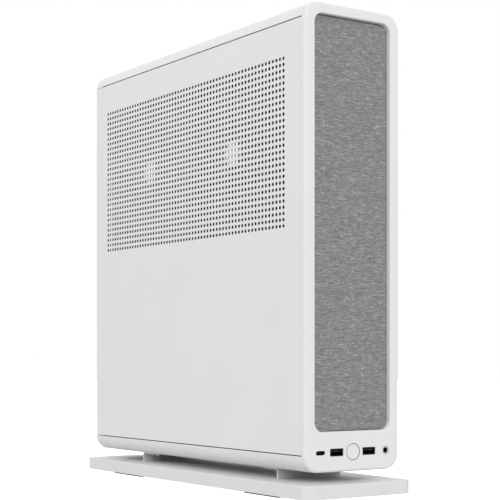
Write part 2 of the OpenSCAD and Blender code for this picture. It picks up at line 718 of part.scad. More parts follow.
module gpu_board() {
  color("darkgreen") difference() {
    union() {
      box([card_x, card_y[0], card_z[0]], [card_face, card_y[1], card_z[1]]);
      box([card_x, slot_y[0] + 3, slot_z + 4.6], [card_face, slot_y[1] - 3, card_z[0] + 0.5]);
    }
    for (y = [-60, 20, 140], z = [card_z[0] + 8, card_z[1] - 8]) at_x(card_x - 1, y, z) cylinder(r = 1.6, h = 4, $fn = 24);
  }
  color("dimgray") box([card_face, 30, card_fan_z - 16], [card_face + 1.4, 62, card_fan_z + 16]);
  color("black") box([card_face, -50, card_z[1] - 8], [card_face + 12, -28, card_z[1] + 3]);
  color("silver") for (i = [0:3]) difference() {
    box([card_face, card_y[1] - 7.5, card_z[0] + 8 + i * 22], [card_face + 6.4, rear_plate - 0.3, card_z[0] + 25 + i * 22]);
    box([card_face + 0.8, card_y[1] - 5, card_z[0] + 8.8 + i * 22], [card_face + 5.6, rear_plate, card_z[0] + 24.2 + i * 22]);
  }
}

module gpu_heatsink() {
  x0 = card_face + 1.4;
  color("silver") {
    translate([0, 0, card_z[0] + 8]) linear_extrude(88) {
      translate([x0, card_y[0] + 6]) square([3, 240]);
      for (i = [0:79]) translate([x0 + 2.9, card_y[0] + 6 + i * 3.02]) square([17.6, 0.8]);
    }
  }
}

module gpu_shroud() {
  outer = [card_y[0] - 2, card_y[1] - 8, card_z[0] - 2, card_z[1] + 1];
  x0 = card_face + 2;
  x1 = card_fan_x + 9.8;
  mid = [(outer[0] + outer[1]) / 2, (outer[2] + outer[3]) / 2];
  size = [outer[1] - outer[0], outer[3] - outer[2]];
  color("dimgray") {
    difference() {
      along_x(x0, x1) translate(mid) rounded(size[0], size[1], 6);
      along_x(x0 - 1, x1 - 2) translate(mid) rounded(size[0] - 4, size[1] - 4, 4);
      for (y = card_fans) at_x(x0, y, card_fan_z) cylinder(r = 43, h = 60, $fn = 96);
      box([x0 - 1, -53, card_z[1] - 12], [card_face + 14, -25, card_z[1] + 4]);
      box([x0 - 1, slot_y[0] - 2, card_z[0] - 3], [x0 + 12, slot_y[1] + 2, card_z[0] + 1]);
    }
    for (y = card_fans) translate([0, y, card_fan_z]) {
      along_x(card_fan_x - 2, card_fan_x - 0.6) circle(15);
      along_x(card_fan_x - 2, card_fan_x - 0.6) for (a = [90, 210, 330]) rotate(a) translate([0, -1.5]) square([48.5, 3]);
    }
    for (y = card_fans) difference() {
      along_x(card_fan_x - 2, x1 - 1) translate([y, card_fan_z]) circle(46, $fn = 96);
      along_x(card_fan_x - 3, x1) translate([y, card_fan_z]) circle(43, $fn = 96);
    }
  }
}

module gpu_backplate() {
  color("dimgray") difference() {
    along_x(card_x - 3, card_x - 1.6) translate([(card_y[0] + card_y[1]) / 2, (card_z[0] + card_z[1]) / 2])
      rounded(card_y[1] - card_y[0] - 4, card_z[1] - card_z[0] - 4, 4);
    for (i = [0:7]) box([card_x - 4, card_y[0] + 14 + i * 9, card_z[0] + 20],
      [card_x, card_y[0] + 18 + i * 9, card_z[1] - 20]);
  }
  color("dimgray") for (y = [-60, 20, 140], z = [card_z[0] + 8, card_z[1] - 8]) at_x(card_x - 1.7, y, z)
    cylinder(r = 2.6, h = 1.7, $fn = 24);
}

module gpu_bracket() {
  color("silver") {
    along_y(rear_plate - 1, rear_plate) difference() {
      translate([card_x - 3, card_z[0] - 2]) square([38.5, 112]);
      for (i = [0:3]) translate([card_face - 0.2, card_z[0] + 7.8 + i * 22]) square([6.8, 17.4]);
      for (i = [0:4], j = [0:17]) translate([card_x + 15 + i * 4, card_z[0] + 10 + j * 5]) circle(1.4, $fn = 20);
      for (p = bracket_screws()) translate(p) circle(1.6, $fn = 24);
    }
  }
}

module gpu_rotor(y) { color("dimgray") translate([card_fan_x, y, card_fan_z]) rotor(16, 41, 8.6, 9, 42); }
module gpu_rotor_front() { gpu_rotor(card_fans[0]); }
module gpu_rotor_rear() { gpu_rotor(card_fans[1]); }

// ---- Power ----

module psu_case() {
  color("dimgray") difference() {
    translate(psu_at) cube(psu);
    translate(psu_at + [1, 1, 1]) cube(psu - [2, 2, 2]);
    at_x(psu_at[0] + psu[0] - 2, psu_fan[0], psu_fan[1]) cylinder(r = 44, h = 4, $fn = 96);
    for (p = psu_screws()) at_y(p[0], psu_at[1] - 1, p[1]) cylinder(r = 1.5, h = 4, $fn = 24);
    along_y(psu_at[1] - 1, psu_at[1] + 2) translate([16, psu_at[2] + 14]) hole_field(5, 19);
  }
  color("black") {
    box([-18, psu_at[1] + psu[1] - 0.5, psu_at[2] + 8], [40, psu_at[1] + psu[1] + 3, psu_at[2] + 56]);
    box([-18, psu_at[1] + psu[1] - 0.5, psu_at[2] + 76], [22, psu_at[1] + psu[1] + 8, psu_at[2] + 117]);
    at_x(psu_at[0] + 0.9, psu_fan[0], psu_fan[1]) cylinder(r = 12, h = 44);
  }
}

module psu_fan_grille() {
  x = psu_at[0] + psu[0] + 0.9;
  color("silver") {
    for (r = [11:8:43]) at_x(x, psu_fan[0], psu_fan[1]) rotate_extrude($fn = 64) translate([r, 0]) circle(0.9, $fn = 16);
    for (a = [45:90:315]) translate([x, psu_fan[0], psu_fan[1]]) rotate([a, 0, 0]) translate([0, 0, 10.6])
      cylinder(r = 0.85, h = 36, $fn = 16);
  }
}

module psu_fan_rotor() { color("dimgray") translate([psu_at[0] + 46.5, psu_fan[0], psu_fan[1]]) rotor(17, 42, 13, 9, 40); }

module mains_inlet() {
  color("black") {
    difference() {
      union() {
        along_y(rear_plate - 19, rear_plate + 1.2) translate(inlet_at) rounded(20, 28, 3);
        along_y(rear_plate + 1, rear_plate + 2) translate(inlet_at) rounded(24, 33, 3);
      }
      along_y(rear_plate - 15, rear_plate + 3) translate(inlet_at) rounded(16.6, 24.4, 2.5);
    }
  }
  color("silver") for (p = [[0, 7], [0, -7], [3.4, 0]])
    along_y(rear_plate - 15.5, rear_plate - 3.5) translate(inlet_at + p) square([4, 2], center = true);
}

module case_fan_frames() {
  color("dimgray") for (y = fan_ys) translate([fan_x, y, fan_z]) fan_body(fan_size, 66.5, fan_t, 22, 124.5);
}

module case_fan_rotor(y) { color("dimgray") translate([fan_x + 0.8, y, fan_z]) rotor(21, 65, 11, 9, 40); }
module case_fan_rotor_front() { case_fan_rotor(fan_ys[0]); }
module case_fan_rotor_rear() { case_fan_rotor(fan_ys[1]); }

// ---- Leads and drive ----

module ac_lead() {
  color("black") {
    lead(ac_route, 3.2, 3.2);
    box([-10, psu_at[1] - 16, 127.8], [18, psu_at[1], 151]);
  }
}

module power_cables() {
  color("black") {
    lead(atx_route, 12, 3.5);
    box([face_x + 12, 34.6, 126], [face_x + 22, 43, 174]);
    lead(gpu_route, 7, 3);
    box([card_face + 1.5, -49, card_z[1] + 3], [card_face + 11.5, -29, card_z[1] + 9]);
  }
}

module io_cable() { color("black") lead(io_route, 2, 2); }

module ssd_drive() {
  color("dimgray") along_x(tray_x + 1, tray_x + 8) translate([-85, low_z + 84]) rounded(100, 69.8, 2);
}

top_shell();
bottom_shell();
front_frame();
rear_frame();
chamber_divider();
board_tray();
fan_bracket();
left_panel();
right_panel();
left_panel_studs();
right_panel_studs();
panel_sockets();
front_bezel();
fabric_frame();
front_fabric();
power_button();
io_board();
usb_a_ports();
usb_c_port();
audio_jack();
base_plate();
rubber_feet();
stand_bracket_front();
stand_bracket_rear();
m3_screws();
motherboard();
board_standoffs();
cpu_socket();
cpu();
cooler_heatsink();
cooler_fan_frame();
cooler_fan_rotor();
memory_slots();
memory_modules();
memory_latch_a();
memory_latch_b();
board_pcie_slot();
rear_io_ports();
io_shield();
board_headers();
riser_card();
riser_slot();
gpu_board();
gpu_heatsink();
gpu_shroud();
gpu_backplate();
gpu_bracket();
gpu_rotor_front();
gpu_rotor_rear();
psu_case();
psu_fan_grille();
psu_fan_rotor();
mains_inlet();
case_fan_frames();
case_fan_rotor_front();
case_fan_rotor_rear();
ac_lead();
power_cables();
io_cable();
ssd_drive();
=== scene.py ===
"""Looks of the slim desktop tower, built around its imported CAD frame. Metres, Blender 4.5."""
import json
import math

import bmesh
import bpy
import numpy as np
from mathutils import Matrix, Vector


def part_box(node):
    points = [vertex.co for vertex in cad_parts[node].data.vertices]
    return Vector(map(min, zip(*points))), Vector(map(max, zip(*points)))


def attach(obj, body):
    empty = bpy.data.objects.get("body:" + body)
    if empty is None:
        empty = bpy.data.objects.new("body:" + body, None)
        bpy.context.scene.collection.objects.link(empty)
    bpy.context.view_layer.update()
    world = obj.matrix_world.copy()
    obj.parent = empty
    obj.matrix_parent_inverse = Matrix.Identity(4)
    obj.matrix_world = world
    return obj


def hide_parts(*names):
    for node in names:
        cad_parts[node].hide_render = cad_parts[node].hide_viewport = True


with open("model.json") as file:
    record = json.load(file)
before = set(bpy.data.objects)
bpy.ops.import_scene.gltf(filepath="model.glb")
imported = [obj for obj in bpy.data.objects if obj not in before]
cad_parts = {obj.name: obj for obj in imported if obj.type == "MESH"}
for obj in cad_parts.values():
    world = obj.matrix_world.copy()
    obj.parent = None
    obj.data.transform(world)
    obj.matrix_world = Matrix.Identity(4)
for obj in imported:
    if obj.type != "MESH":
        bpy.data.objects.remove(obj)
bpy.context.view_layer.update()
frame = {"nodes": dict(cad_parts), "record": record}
NODES = frame["nodes"]
MM = 0.001
BODY_OF = {node: body for body, nodes in frame["record"]["behaviour"]["bodies"].items() for node in nodes}


# ---- Node materials ----

class Shader:
    """A node material in the making: a principled shader and helpers that add and join nodes."""

    def __init__(self, name, color, roughness, metallic=0.0, **sockets):
        self.mat = bpy.data.materials.new(name)
        self.mat.use_nodes = True
        self.tree = self.mat.node_tree
        self.bsdf = self.tree.nodes["Principled BSDF"]
        self.set("Base Color", (*color, 1.0))
        self.set("Roughness", roughness)
        self.set("Metallic", metallic)
        for key, value in sockets.items():
            self.set(key.replace("_", " "), value)
        self.place = self.add("ShaderNodeTexCoord").outputs["Object"]

    def set(self, socket, value):
        self.bsdf.inputs[socket].default_value = value

    def add(self, kind, **settings):
        node = self.tree.nodes.new(kind)
        for key, value in settings.items():
            setattr(node, key, value)
        return node

    def link(self, source, target):
        self.tree.links.new(source, target)

    def scaled(self, scale, rotation=(0, 0, 0)):
        node = self.add("ShaderNodeMapping")
        node.inputs["Scale"].default_value = scale
        node.inputs["Rotation"].default_value = rotation
        self.link(self.place, node.inputs["Vector"])
        return node.outputs["Vector"]

    def noise(self, scale, detail=2.0, rough=0.5, vector=None):
        node = self.add("ShaderNodeTexNoise")
        node.inputs["Scale"].default_value = scale
        node.inputs["Detail"].default_value = detail
        node.inputs["Roughness"].default_value = rough
        self.link(vector or self.place, node.inputs["Vector"])
        return node.outputs["Fac"]

    def voronoi(self, scale, feature="F1", vector=None, output="Distance"):
        node = self.add("ShaderNodeTexVoronoi", feature=feature)
        node.inputs["Scale"].default_value = scale
        self.link(vector or self.place, node.inputs["Vector"])
        return node.outputs[output]

    def ramp(self, value, stops):
        node = self.add("ShaderNodeValToRGB")
        for element, (at, color) in zip(self._elements(node, len(stops)), stops):
            element.position = at
            element.color = (*color, 1.0) if len(color) == 3 else color
        self.link(value, node.inputs["Fac"])
        return node.outputs["Color"]

    @staticmethod
    def _elements(node, count):
        elements = node.color_ramp.elements
        while len(elements) < count:
            elements.new(0.5)
        return elements

    def span(self, value, low, high, from_low=0.3, from_high=0.7):
        node = self.add("ShaderNodeMapRange")
        limits = {"From Min": from_low, "From Max": from_high, "To Min": low, "To Max": high}
        for key, number in limits.items():
            node.inputs[key].default_value = number
        self.link(value, node.inputs["Value"])
        return node.outputs["Result"]

    def math(self, operation, a, b=None):
        node = self.add("ShaderNodeMath", operation=operation)
        for socket, value in zip(node.inputs, (a, b)):
            if value is None:
                continue
            if isinstance(value, (int, float)):
                socket.default_value = value
            else:
                self.link(value, socket)
        return node.outputs["Value"]

    def mix(self, factor, a, b):
        node = self.add("ShaderNodeMix", data_type="RGBA")
        for socket, value in ((node.inputs[0], factor), (node.inputs[6], a), (node.inputs[7], b)):
            if isinstance(value, (tuple, list)):
                socket.default_value = (*value, 1.0)
            elif isinstance(value, (int, float)):
                socket.default_value = value
            else:
                self.link(value, socket)
        return node.outputs[2]

    def bump(self, height, strength, distance):
        node = self.add("ShaderNodeBump")
        node.inputs["Strength"].default_value = strength
        node.inputs["Distance"].default_value = distance
        self.link(height, node.inputs["Height"])
        if self.bsdf.inputs["Normal"].links:
            self.link(self.bsdf.inputs["Normal"].links[0].from_socket, node.inputs["Normal"])
        self.link(node.outputs["Normal"], self.bsdf.inputs["Normal"])

    def feed(self, socket, value):
        self.link(value, self.bsdf.inputs[socket])


def tones(color, spread):
    """Two near colours around one, darker and lighter by the given share."""
    return tuple(c * (1 - spread) for c in color), tuple(min(1, c * (1 + spread)) for c in color)


def painted(name, color, roughness, grain, grain_depth):
    """Powder-coated or moulded surface: fine grain, slow changes of tone and gloss."""
    s = Shader(name, color, roughness, Specular_IOR_Level=0.28)
    low, high = tones(color, 0.012)
    s.feed("Base Color", s.mix(s.span(s.noise(14, 3), 0, 1), low, high))
    s.feed("Roughness", s.span(s.noise(90, 2), roughness - 0.04, roughness + 0.04))
    s.bump(s.noise(grain, 3, 0.6), 0.35, grain_depth)
    return s.mat


def moulded(name, color, roughness, grain=2600, depth=0.00004, spread=0.15):
    s = Shader(name, color, roughness, Specular_IOR_Level=0.4)
    low, high = tones(color, spread)
    s.feed("Base Color", s.mix(s.span(s.noise(60, 3), 0, 1), low, high))
    s.feed("Roughness", s.span(s.noise(220, 3), roughness - 0.08, roughness + 0.08))
    s.bump(s.voronoi(grain), 0.3, depth)
    return s.mat


def glowing_fan_label():
    """Blank foil label that glows, a painted light, so that it shows bright through the perforations."""
    s = Shader("glowing_fan_label", (0.9, 0.9, 0.9), 0.3, Specular_IOR_Level=0.6, Emission_Strength=0.7)
    s.set("Emission Color", (1, 1, 1, 1))
    s.feed("Roughness", s.span(s.noise(300, 2), 0.22, 0.38))
    s.bump(s.noise(700, 2), 0.1, 0.00001)
    return s.mat


def metal(name, color, roughness, brush=(60, 60, 2400), depth=0.00001):
    """Bare metal with brush or rolling marks along one direction."""
    s = Shader(name, color, roughness, metallic=1.0)
    marks = s.noise(1.0, 4, 0.7, s.scaled(brush))
    low, high = tones(color, 0.07)
    s.feed("Base Color", s.mix(s.span(s.noise(30, 4), 0, 1), low, high))
    s.feed("Roughness", s.span(marks, roughness - 0.1, roughness + 0.12))
    s.bump(marks, 0.25, depth)
    return s.mat


def zinc_sheet():
    """Galvanised sheet with its faint crystal pattern, its tone kept darker than bare zinc as painted shade
    inside the case.
    """
    s = Shader("zinc_sheet", (0.36, 0.362, 0.365), 0.38, metallic=1.0)
    crystals = s.voronoi(160, "F1", output="Color")
    tone = s.add("ShaderNodeSeparateColor")
    s.link(crystals, tone.inputs["Color"])
    s.feed("Base Color", s.mix(tone.outputs["Red"], (0.3, 0.302, 0.305), (0.43, 0.433, 0.437)))
    s.feed("Roughness", s.span(tone.outputs["Green"], 0.3, 0.48, 0, 1))
    s.bump(s.noise(900, 3), 0.15, 0.00003)
    return s.mat


def woven():
    """Heathered cloth: dark and light fibres in short stretches along each thread, with pale specks."""
    s = Shader("heathered_weave", (0.27, 0.258, 0.262), 0.93, Sheen_Weight=0.25, Sheen_Roughness=0.5,
               Specular_IOR_Level=0.15)
    weft = s.noise(1.0, 2, 0.6, s.scaled((170, 200, 1500)))
    warp = s.noise(1.0, 2, 0.6, s.scaled((1500, 200, 420)))
    specks = s.noise(1700, 1, 0.5)
    tone = s.math("ADD", s.math("MULTIPLY", weft, 0.46), s.math("MULTIPLY", warp, 0.2))
    tone = s.math("ADD", tone, s.math("MULTIPLY", specks, 0.34))
    color = s.ramp(tone, [(0.36, (0.15, 0.142, 0.147)), (0.47, (0.224, 0.214, 0.219)),
                          (0.55, (0.28, 0.27, 0.274)), (0.64, (0.5, 0.486, 0.49))])
    s.feed("Base Color", color)
    s.bump(s.noise(1.0, 3, 0.6, s.scaled((900, 900, 5200))), 0.35, 0.00008)
    s.bump(s.noise(5200, 2), 0.3, 0.00004)
    return s.mat


def rubber():
    s = Shader("rubber", (0.018, 0.018, 0.019), 0.78, Specular_IOR_Level=0.3)
    s.feed("Roughness", s.span(s.noise(400, 3), 0.7, 0.86))
    s.bump(s.noise(3200, 3), 0.3, 0.00003)
    return s.mat


def circuit_board(name, mask, track):
    """Solder mask over copper tracks: long thin cells for the tracks, small dots for the vias."""
    s = Shader(name, mask, 0.32, Coat_Weight=0.25, Coat_Roughness=0.2)
    across = s.add("ShaderNodeTexBrick", offset=0.37, squash=1.0)
    across.inputs["Scale"].default_value = 1.0
    across.inputs["Mortar Size"].default_value = 0.14
    across.inputs["Brick Width"].default_value = 6.0
    across.inputs["Row Height"].default_value = 0.9
    across.inputs["Color1"].default_value = (0, 0, 0, 1)
    across.inputs["Color2"].default_value = (0, 0, 0, 1)
    across.inputs["Mortar"].default_value = (1, 1, 1, 1)
    s.link(s.scaled((900, 900, 900), (0, math.radians(90), 0)), across.inputs["Vector"])
    areas = s.span(s.noise(60, 2), 0, 1, 0.48, 0.54)
    lines = s.math("MULTIPLY", across.outputs["Fac"], areas)
    vias = s.math("LESS_THAN", s.voronoi(420), 0.13)
    s.feed("Base Color", s.mix(vias, s.mix(lines, mask, track), (0.42, 0.34, 0.16)))
    s.bump(s.math("ADD", lines, vias), 0.3, 0.00003)
    return s.mat


def sleeve(name, color):
    """Ribbed sheath of a lead."""
    s = Shader(name, color, 0.6, Specular_IOR_Level=0.35)
    s.feed("Roughness", s.span(s.noise(500, 3), 0.5, 0.7))
    s.bump(s.noise(1.0, 2, 0.6, s.scaled((2400, 500, 2400))), 0.4, 0.00006)
    return s.mat


WHITE = (0.79, 0.79, 0.792)
MATS = {
    "white_steel": painted("white_powder_coat", WHITE, 0.52, 2400, 0.00003),
    "white_plastic": painted("white_moulding", (0.8, 0.8, 0.802), 0.45, 4200, 0.000015),
    # The base plate is a shade darker than the white moulding: painted shade, standing in for the shade the
    # floor casts on it.
    "base_moulding_painted_shade": painted("base_moulding_painted_shade", (0.755, 0.755, 0.757), 0.45, 4200, 0.000015),
    "zinc_steel": zinc_sheet(),
    "dark_plastic": moulded("dark_moulding", (0.025, 0.025, 0.027), 0.5),
    "black_plastic": moulded("connector_moulding", (0.009, 0.009, 0.01), 0.38, 3600, 0.00002),
    "grey_fabric": woven(),
    "rubber": rubber(),
    "circuit_board": circuit_board("solder_mask", (0.006, 0.01, 0.008), (0.014, 0.026, 0.02)),
    "aluminium": metal("extruded_aluminium", (0.78, 0.79, 0.8), 0.32),
    "nickel": metal("nickel_plate", (0.63, 0.61, 0.58), 0.26, (900, 900, 900)),
    "dark_screw": moulded("black_coated_steel", (0.03, 0.03, 0.032), 0.42, 1800, 0.00002),
    "brass": metal("turned_brass", (0.72, 0.5, 0.2), 0.3, (2000, 100, 100)),
    "lead_sheath": sleeve("lead_sheath", (0.014, 0.014, 0.015)),
    "gold": metal("gold_contacts", (0.9, 0.65, 0.25), 0.25, (900, 900, 900)),
    "dark_metal": metal("black_nickel", (0.05, 0.05, 0.052), 0.35, (900, 900, 900)),
    "chip": moulded("chip_package", (0.02, 0.02, 0.021), 0.45, 3000, 0.00001),
    # Dark seal, also used as painted shade in the cap seams, the top cap's hole walls and the gap round the
    # key.
    "seal": moulded("dark_seal_painted_shade", (0.012, 0.012, 0.013), 0.9, 1500, 0.00006),
    # Dark lining for the side panels' hole walls and the power key's side: painted shade.
    "painted_shade_lining": moulded("painted_shade_lining", (0.03, 0.03, 0.031), 0.7, 2400, 0.00002),
    "label": glowing_fan_label(),
    "grey_moulding": painted("grey_moulding", (0.56, 0.56, 0.555), 0.42, 4200, 0.00001),
}
SLOT_OF = {s["node"]: s["material_slot"] for s in frame["record"]["subparts"]}
for node_name, node in NODES.items():
    node.data.materials.clear()
    node.data.materials.append(MATS[SLOT_OF[node_name]])


# ---- Meshes ----

def linked(piece):
    bpy.context.scene.collection.objects.link(piece)
    return piece


class Solid:
    """Collects faces by their corners' places; equal places become one vertex."""

    def __init__(self):
        self.index = {}
        self.verts = []
        self.faces = []
        self.mats = []
        self.mat = 0

    def vert(self, p):
        key = (round(p[0], 7), round(p[1], 7), round(p[2], 7))
        if key not in self.index:
            self.index[key] = len(self.verts)
            self.verts.append(key)
        return self.index[key]

    def face(self, points):
        ids = [self.vert(p) for p in points]
        ids = [v for i, v in enumerate(ids) if v != ids[i - 1]]
        if len(set(ids)) > 2:
            self.faces.append(ids)
            self.mats.append(self.mat)

    def loft(self, rings):
        for a, b in zip(rings, rings[1:]):
            for k in range(len(a)):
                j = (k + 1) % len(a)
                self.face([a[k], a[j], b[j], b[k]])

    def capped(self, rings):
        """A loft with its first and last ring filled."""
        self.loft(rings)
        self.face(rings[0])
        self.face(rings[-1])

    def box(self, low, high, chamfer=0.0):
        """A box with its twelve edges cut by a small chamfer."""
        c = min(chamfer, *[(h - l) / 2.01 for l, h in zip(low, high)])
        if c <= 0:
            xs, ys, zs = zip(low, high)
            ring = [[(x, y, z) for x, y in ((xs[0], ys[0]), (xs[1], ys[0]), (xs[1], ys[1]), (xs[0], ys[1]))]
                    for z in zs]
        else:
            ring = []
            for z, inset in ((low[2], c), (low[2] + c, 0), (high[2] - c, 0), (high[2], c)):
                x0, x1, y0, y1 = low[0] + inset, high[0] - inset, low[1] + inset, high[1] - inset
                ring.append([(x0 + c, y0, z), (x1 - c, y0, z), (x1, y0 + c, z), (x1, y1 - c, z),
                             (x1 - c, y1, z), (x0 + c, y1, z), (x0, y1 - c, z), (x0, y0 + c, z)])
        self.loft(ring)
        self.face(ring[0][::-1])
        self.face(ring[-1])

    def build(self, name, materials, smooth):
        mesh = bpy.data.meshes.new(name)
        mesh.from_pydata(self.verts, [], self.faces)
        for m in materials:
            mesh.materials.append(m)
        mesh.polygons.foreach_set("material_index", self.mats)
        bm = bmesh.new()
        bm.from_mesh(mesh)
        bmesh.ops.recalc_face_normals(bm, faces=bm.faces)
        bm.to_mesh(mesh)
        bm.free()
        mesh.shade_smooth()
        mesh.set_sharp_from_angle(angle=math.radians(smooth))
        piece = linked(bpy.data.objects.new(name, mesh))
        normals = piece.modifiers.new("normals", "WEIGHTED_NORMAL")
        normals.keep_sharp = True
        return piece


def stand_for(piece, *nodes):
    """piece rides on the body of the first node and replaces the nodes."""
    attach(piece, BODY_OF[nodes[0]])
    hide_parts(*nodes)
    return piece


def ride_with(piece, node):
    """A further piece that moves with a node's body and replaces nothing."""
    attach(piece, BODY_OF[node])
    return piece


def arc(cx, cy, r, start, end, steps):
    return [(cx + r * math.cos(math.radians(start + (end - start) * i / steps)),
             cy + r * math.sin(math.radians(start + (end - start) * i / steps))) for i in range(steps + 1)]


def rounded_rect(low, high, r, steps=12):
    """Outline of a rectangle with round corners, anticlockwise."""
    (x0, y0), (x1, y1) = low, high
    r = max(r, 1e-6)
    return (arc(x1 - r, y1 - r, r, 0, 90, steps) + arc(x0 + r, y1 - r, r, 90, 180, steps)
            + arc(x0 + r, y0 + r, r, 180, 270, steps) + arc(x1 - r, y0 + r, r, 270, 360, steps))


def inset_rect(low, high, r, by, steps=12):
    return rounded_rect((low[0] + by, low[1] + by), (high[0] - by, high[1] - by), max(r - by, 0.0002), steps)


def rounding(radius, steps):
    """Pairs (inset, depth) along a quarter round, from (radius, 0) on the face to (0, radius) aside."""
    return [(radius * (1 - math.sin(math.radians(90 * i / steps))),
             radius * (1 - math.cos(math.radians(90 * i / steps)))) for i in range(steps + 1)]


def fill(solid, loops):
    """Fills the flat area between an outer loop and the hole loops inside it."""
    bm = bmesh.new()
    for loop in loops:
        verts = [bm.verts.new(p) for p in loop]
        for a, b in zip(verts, verts[1:] + verts[:1]):
            bm.edges.new((a, b))
    made = bmesh.ops.triangle_fill(bm, use_beauty=True, use_dissolve=False, edges=list(bm.edges))
    for f in made["geom"]:
        if isinstance(f, bmesh.types.BMFace):
            solid.face([tuple(v.co) for v in f.verts])
    bm.free()


def solids_of(node):
    """Lowest and highest corner of each separate solid in a node's mesh."""
    bm = bmesh.new()
    bm.from_mesh(NODES[node].data)
    bmesh.ops.remove_doubles(bm, verts=bm.verts, dist=1e-6)
    left, found = set(bm.verts), []
    while left:
        front, island = [left.pop()], []
        while front:
            v = front.pop()
            island.append(v.co.copy())
            for e in v.link_edges:
                w = e.other_vert(v)
                if w in left:
                    left.remove(w)
                    front.append(w)
        found.append((Vector([min(c[i] for c in island) for i in range(3)]),
                      Vector([max(c[i] for c in island) for i in range(3)]), island))
    bm.free()
    return sorted(found, key=lambda b: tuple(round(x, 5) for x in b[0]))


# ---- Sizes read from the frame ----

body_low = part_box("bottom_shell")[0]
body_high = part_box("top_shell")[1]
bezel_low, bezel_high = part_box("front_bezel")
panel_low, panel_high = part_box("left_panel")
plate_low, plate_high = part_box("base_plate")
fabric_low, fabric_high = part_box("front_fabric")
BODY_R = 13 * MM
SHEET = 1 * MM
BEZEL_BACK = body_low.y
PITCH = 5 * MM
HOLE_R = 1.45 * MM
VENT_Y = -147.4 * MM
VENT_COLS = 61
VENT_Z = body_low.z + 197.7 * MM
LOW_VENT_Z = body_low.z + 71 * MM
TOP_VENT_X, TOP_VENT_COLS = -6 * PITCH, 13
TOP_VENT_Y = -24 * PITCH - PITCH / 2
LAND_X, LAND_HEIGHT = 45 * MM, 14 * MM
SEAM = 0.7 * MM
EDGE = 0.3 * MM
RIM = 0.05 * MM
RING = 16


# ---- Perforated sheets ----

def perforated(solid, place, u0, u1, bands, first_u, cols, thick, edge):
    """A flat sheet in bands along v, each blank or a field of holes, with its outer edge left open.
    place(u, v, depth) gives the point in space; bands are (v_low, v_high, rows), rows 0 for a blank one."""
    step = PITCH / 4
    grid_u = [first_u - PITCH / 2 + k * step for k in range(4 * cols + 1)]
    v_first, v_last = bands[0][0], bands[-1][1]
    square = ([(-2 + k, -2) for k in range(4)] + [(2, -2 + k) for k in range(4)]
              + [(2 - k, 2) for k in range(4)] + [(-2, 2 - k) for k in range(4)])
    circle = [(math.cos(math.radians(225 + 22.5 * k)), math.sin(math.radians(225 + 22.5 * k)))
              for k in range(RING)]

    def side(depth, inset):
        def at(u, v):
            u = u + inset if u == u0 else u - inset if u == u1 else u
            v = v + inset if v == v_first else v - inset if v == v_last else v
            return place(u, v, depth)

        for n, (low, high, rows) in enumerate(bands):
            if rows:
                grid_v = [low + k * step for k in range(4 * rows + 1)]
                solid.face([at(u0, low)] + [at(grid_u[0], v) for v in grid_v] + [at(u0, high)])
                solid.face([at(u1, low)] + [at(grid_u[-1], v) for v in grid_v] + [at(u1, high)])
            else:
                under = grid_u if n and bands[n - 1][2] else []
                over = grid_u if n + 1 < len(bands) and bands[n + 1][2] else []
                solid.face([at(u, low) for u in [u0, *under, u1]]
                           + [at(u, high) for u in [u1, *over[::-1], u0]])

    side(0, edge)
    side(thick, 0)
    for low, high, rows in bands:
        for i in range(cols):
            for j in range(rows):
                cu, cv = first_u + i * PITCH, low + (j + 0.5) * PITCH
                cell = [(cu + a * step, cv + b * step) for a, b in square]
                mouth = [(cu + (HOLE_R + RIM) * a, cv + (HOLE_R + RIM) * b) for a, b in circle]
                wall = [(cu + HOLE_R * a, cv + HOLE_R * b) for a, b in circle]
                rings = [[place(u, v, d) for u, v in loop]
                         for loop, d in ((cell, 0), (mouth, 0), (wall, RIM), (wall, thick), (cell, thick))]
                solid.loft(rings[:3])
                # The hole walls take the sheet's second material, a dark one: painted shade inside the
                # holes.
                solid.mat = 1
                solid.loft(rings[2:4])
                solid.mat = 0
                solid.loft(rings[3:])
    levels = [b[0] for b in bands] + [v_last]

    def outline(depth, inset):
        us, ue, vs, ve = u0 + inset, u1 - inset, v_first + inset, v_last - inset
        inner = levels[1:-1]
        return ([place(us, vs, depth), place(ue, vs, depth)] + [place(ue, v, depth) for v in inner]
                + [place(ue, ve, depth), place(us, ve, depth)] + [place(us, v, depth) for v in inner[::-1]])

    return outline


def side_panel(node, x_face, direction, fields):
    """A flat side panel whose visible face lies at x_face and whose thickness runs along direction."""
    low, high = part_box(node)
    bands, v = [], low.z
    for first_row, rows in sorted(fields):
        start = first_row - PITCH / 2
        bands += [(v, start, 0), (start, start + rows * PITCH, rows)]
        v = start + rows * PITCH
    bands.append((v, high.z, 0))
    solid = Solid()
    outline = perforated(solid, lambda u, v, d: (x_face + direction * d, u, v), low.y, high.y, bands,
                         VENT_Y, VENT_COLS, SHEET, EDGE)
    rounds = [outline(d, i) for i, d in rounding(EDGE, 3)]
    solid.loft(rounds + [outline(SHEET, 0)])
    return stand_for(solid.build(node + "_sheet", [MATS["white_steel"], MATS["painted_shade_lining"]], 30), node)


def cap_profile(edge_depth):
    """Section of a long cap in X and Z, as points (x, depth below the cap's flat face)."""
    half = body_high.x
    inner_r = BODY_R - SHEET

    def quarter(radius, depth):
        end = math.degrees(math.asin(min(1, max(0, (BODY_R - depth) / radius))))
        points = arc(half - BODY_R, 0, radius, 90, end, 14)
        return [(x, BODY_R - y) for x, y in points]

    outer = quarter(BODY_R, min(edge_depth, BODY_R))
    if edge_depth > BODY_R:
        outer.append((half, edge_depth))
    joggle = edge_depth - SHEET
    inner = quarter(inner_r, min(joggle, BODY_R))
    land = [(LAND_X + SHEET, edge_depth), (LAND_X + SHEET, edge_depth - SHEET + LAND_HEIGHT),
            (LAND_X, edge_depth - SHEET + LAND_HEIGHT), (LAND_X, joggle)]
    return outer + land + inner[::-1], len(outer)


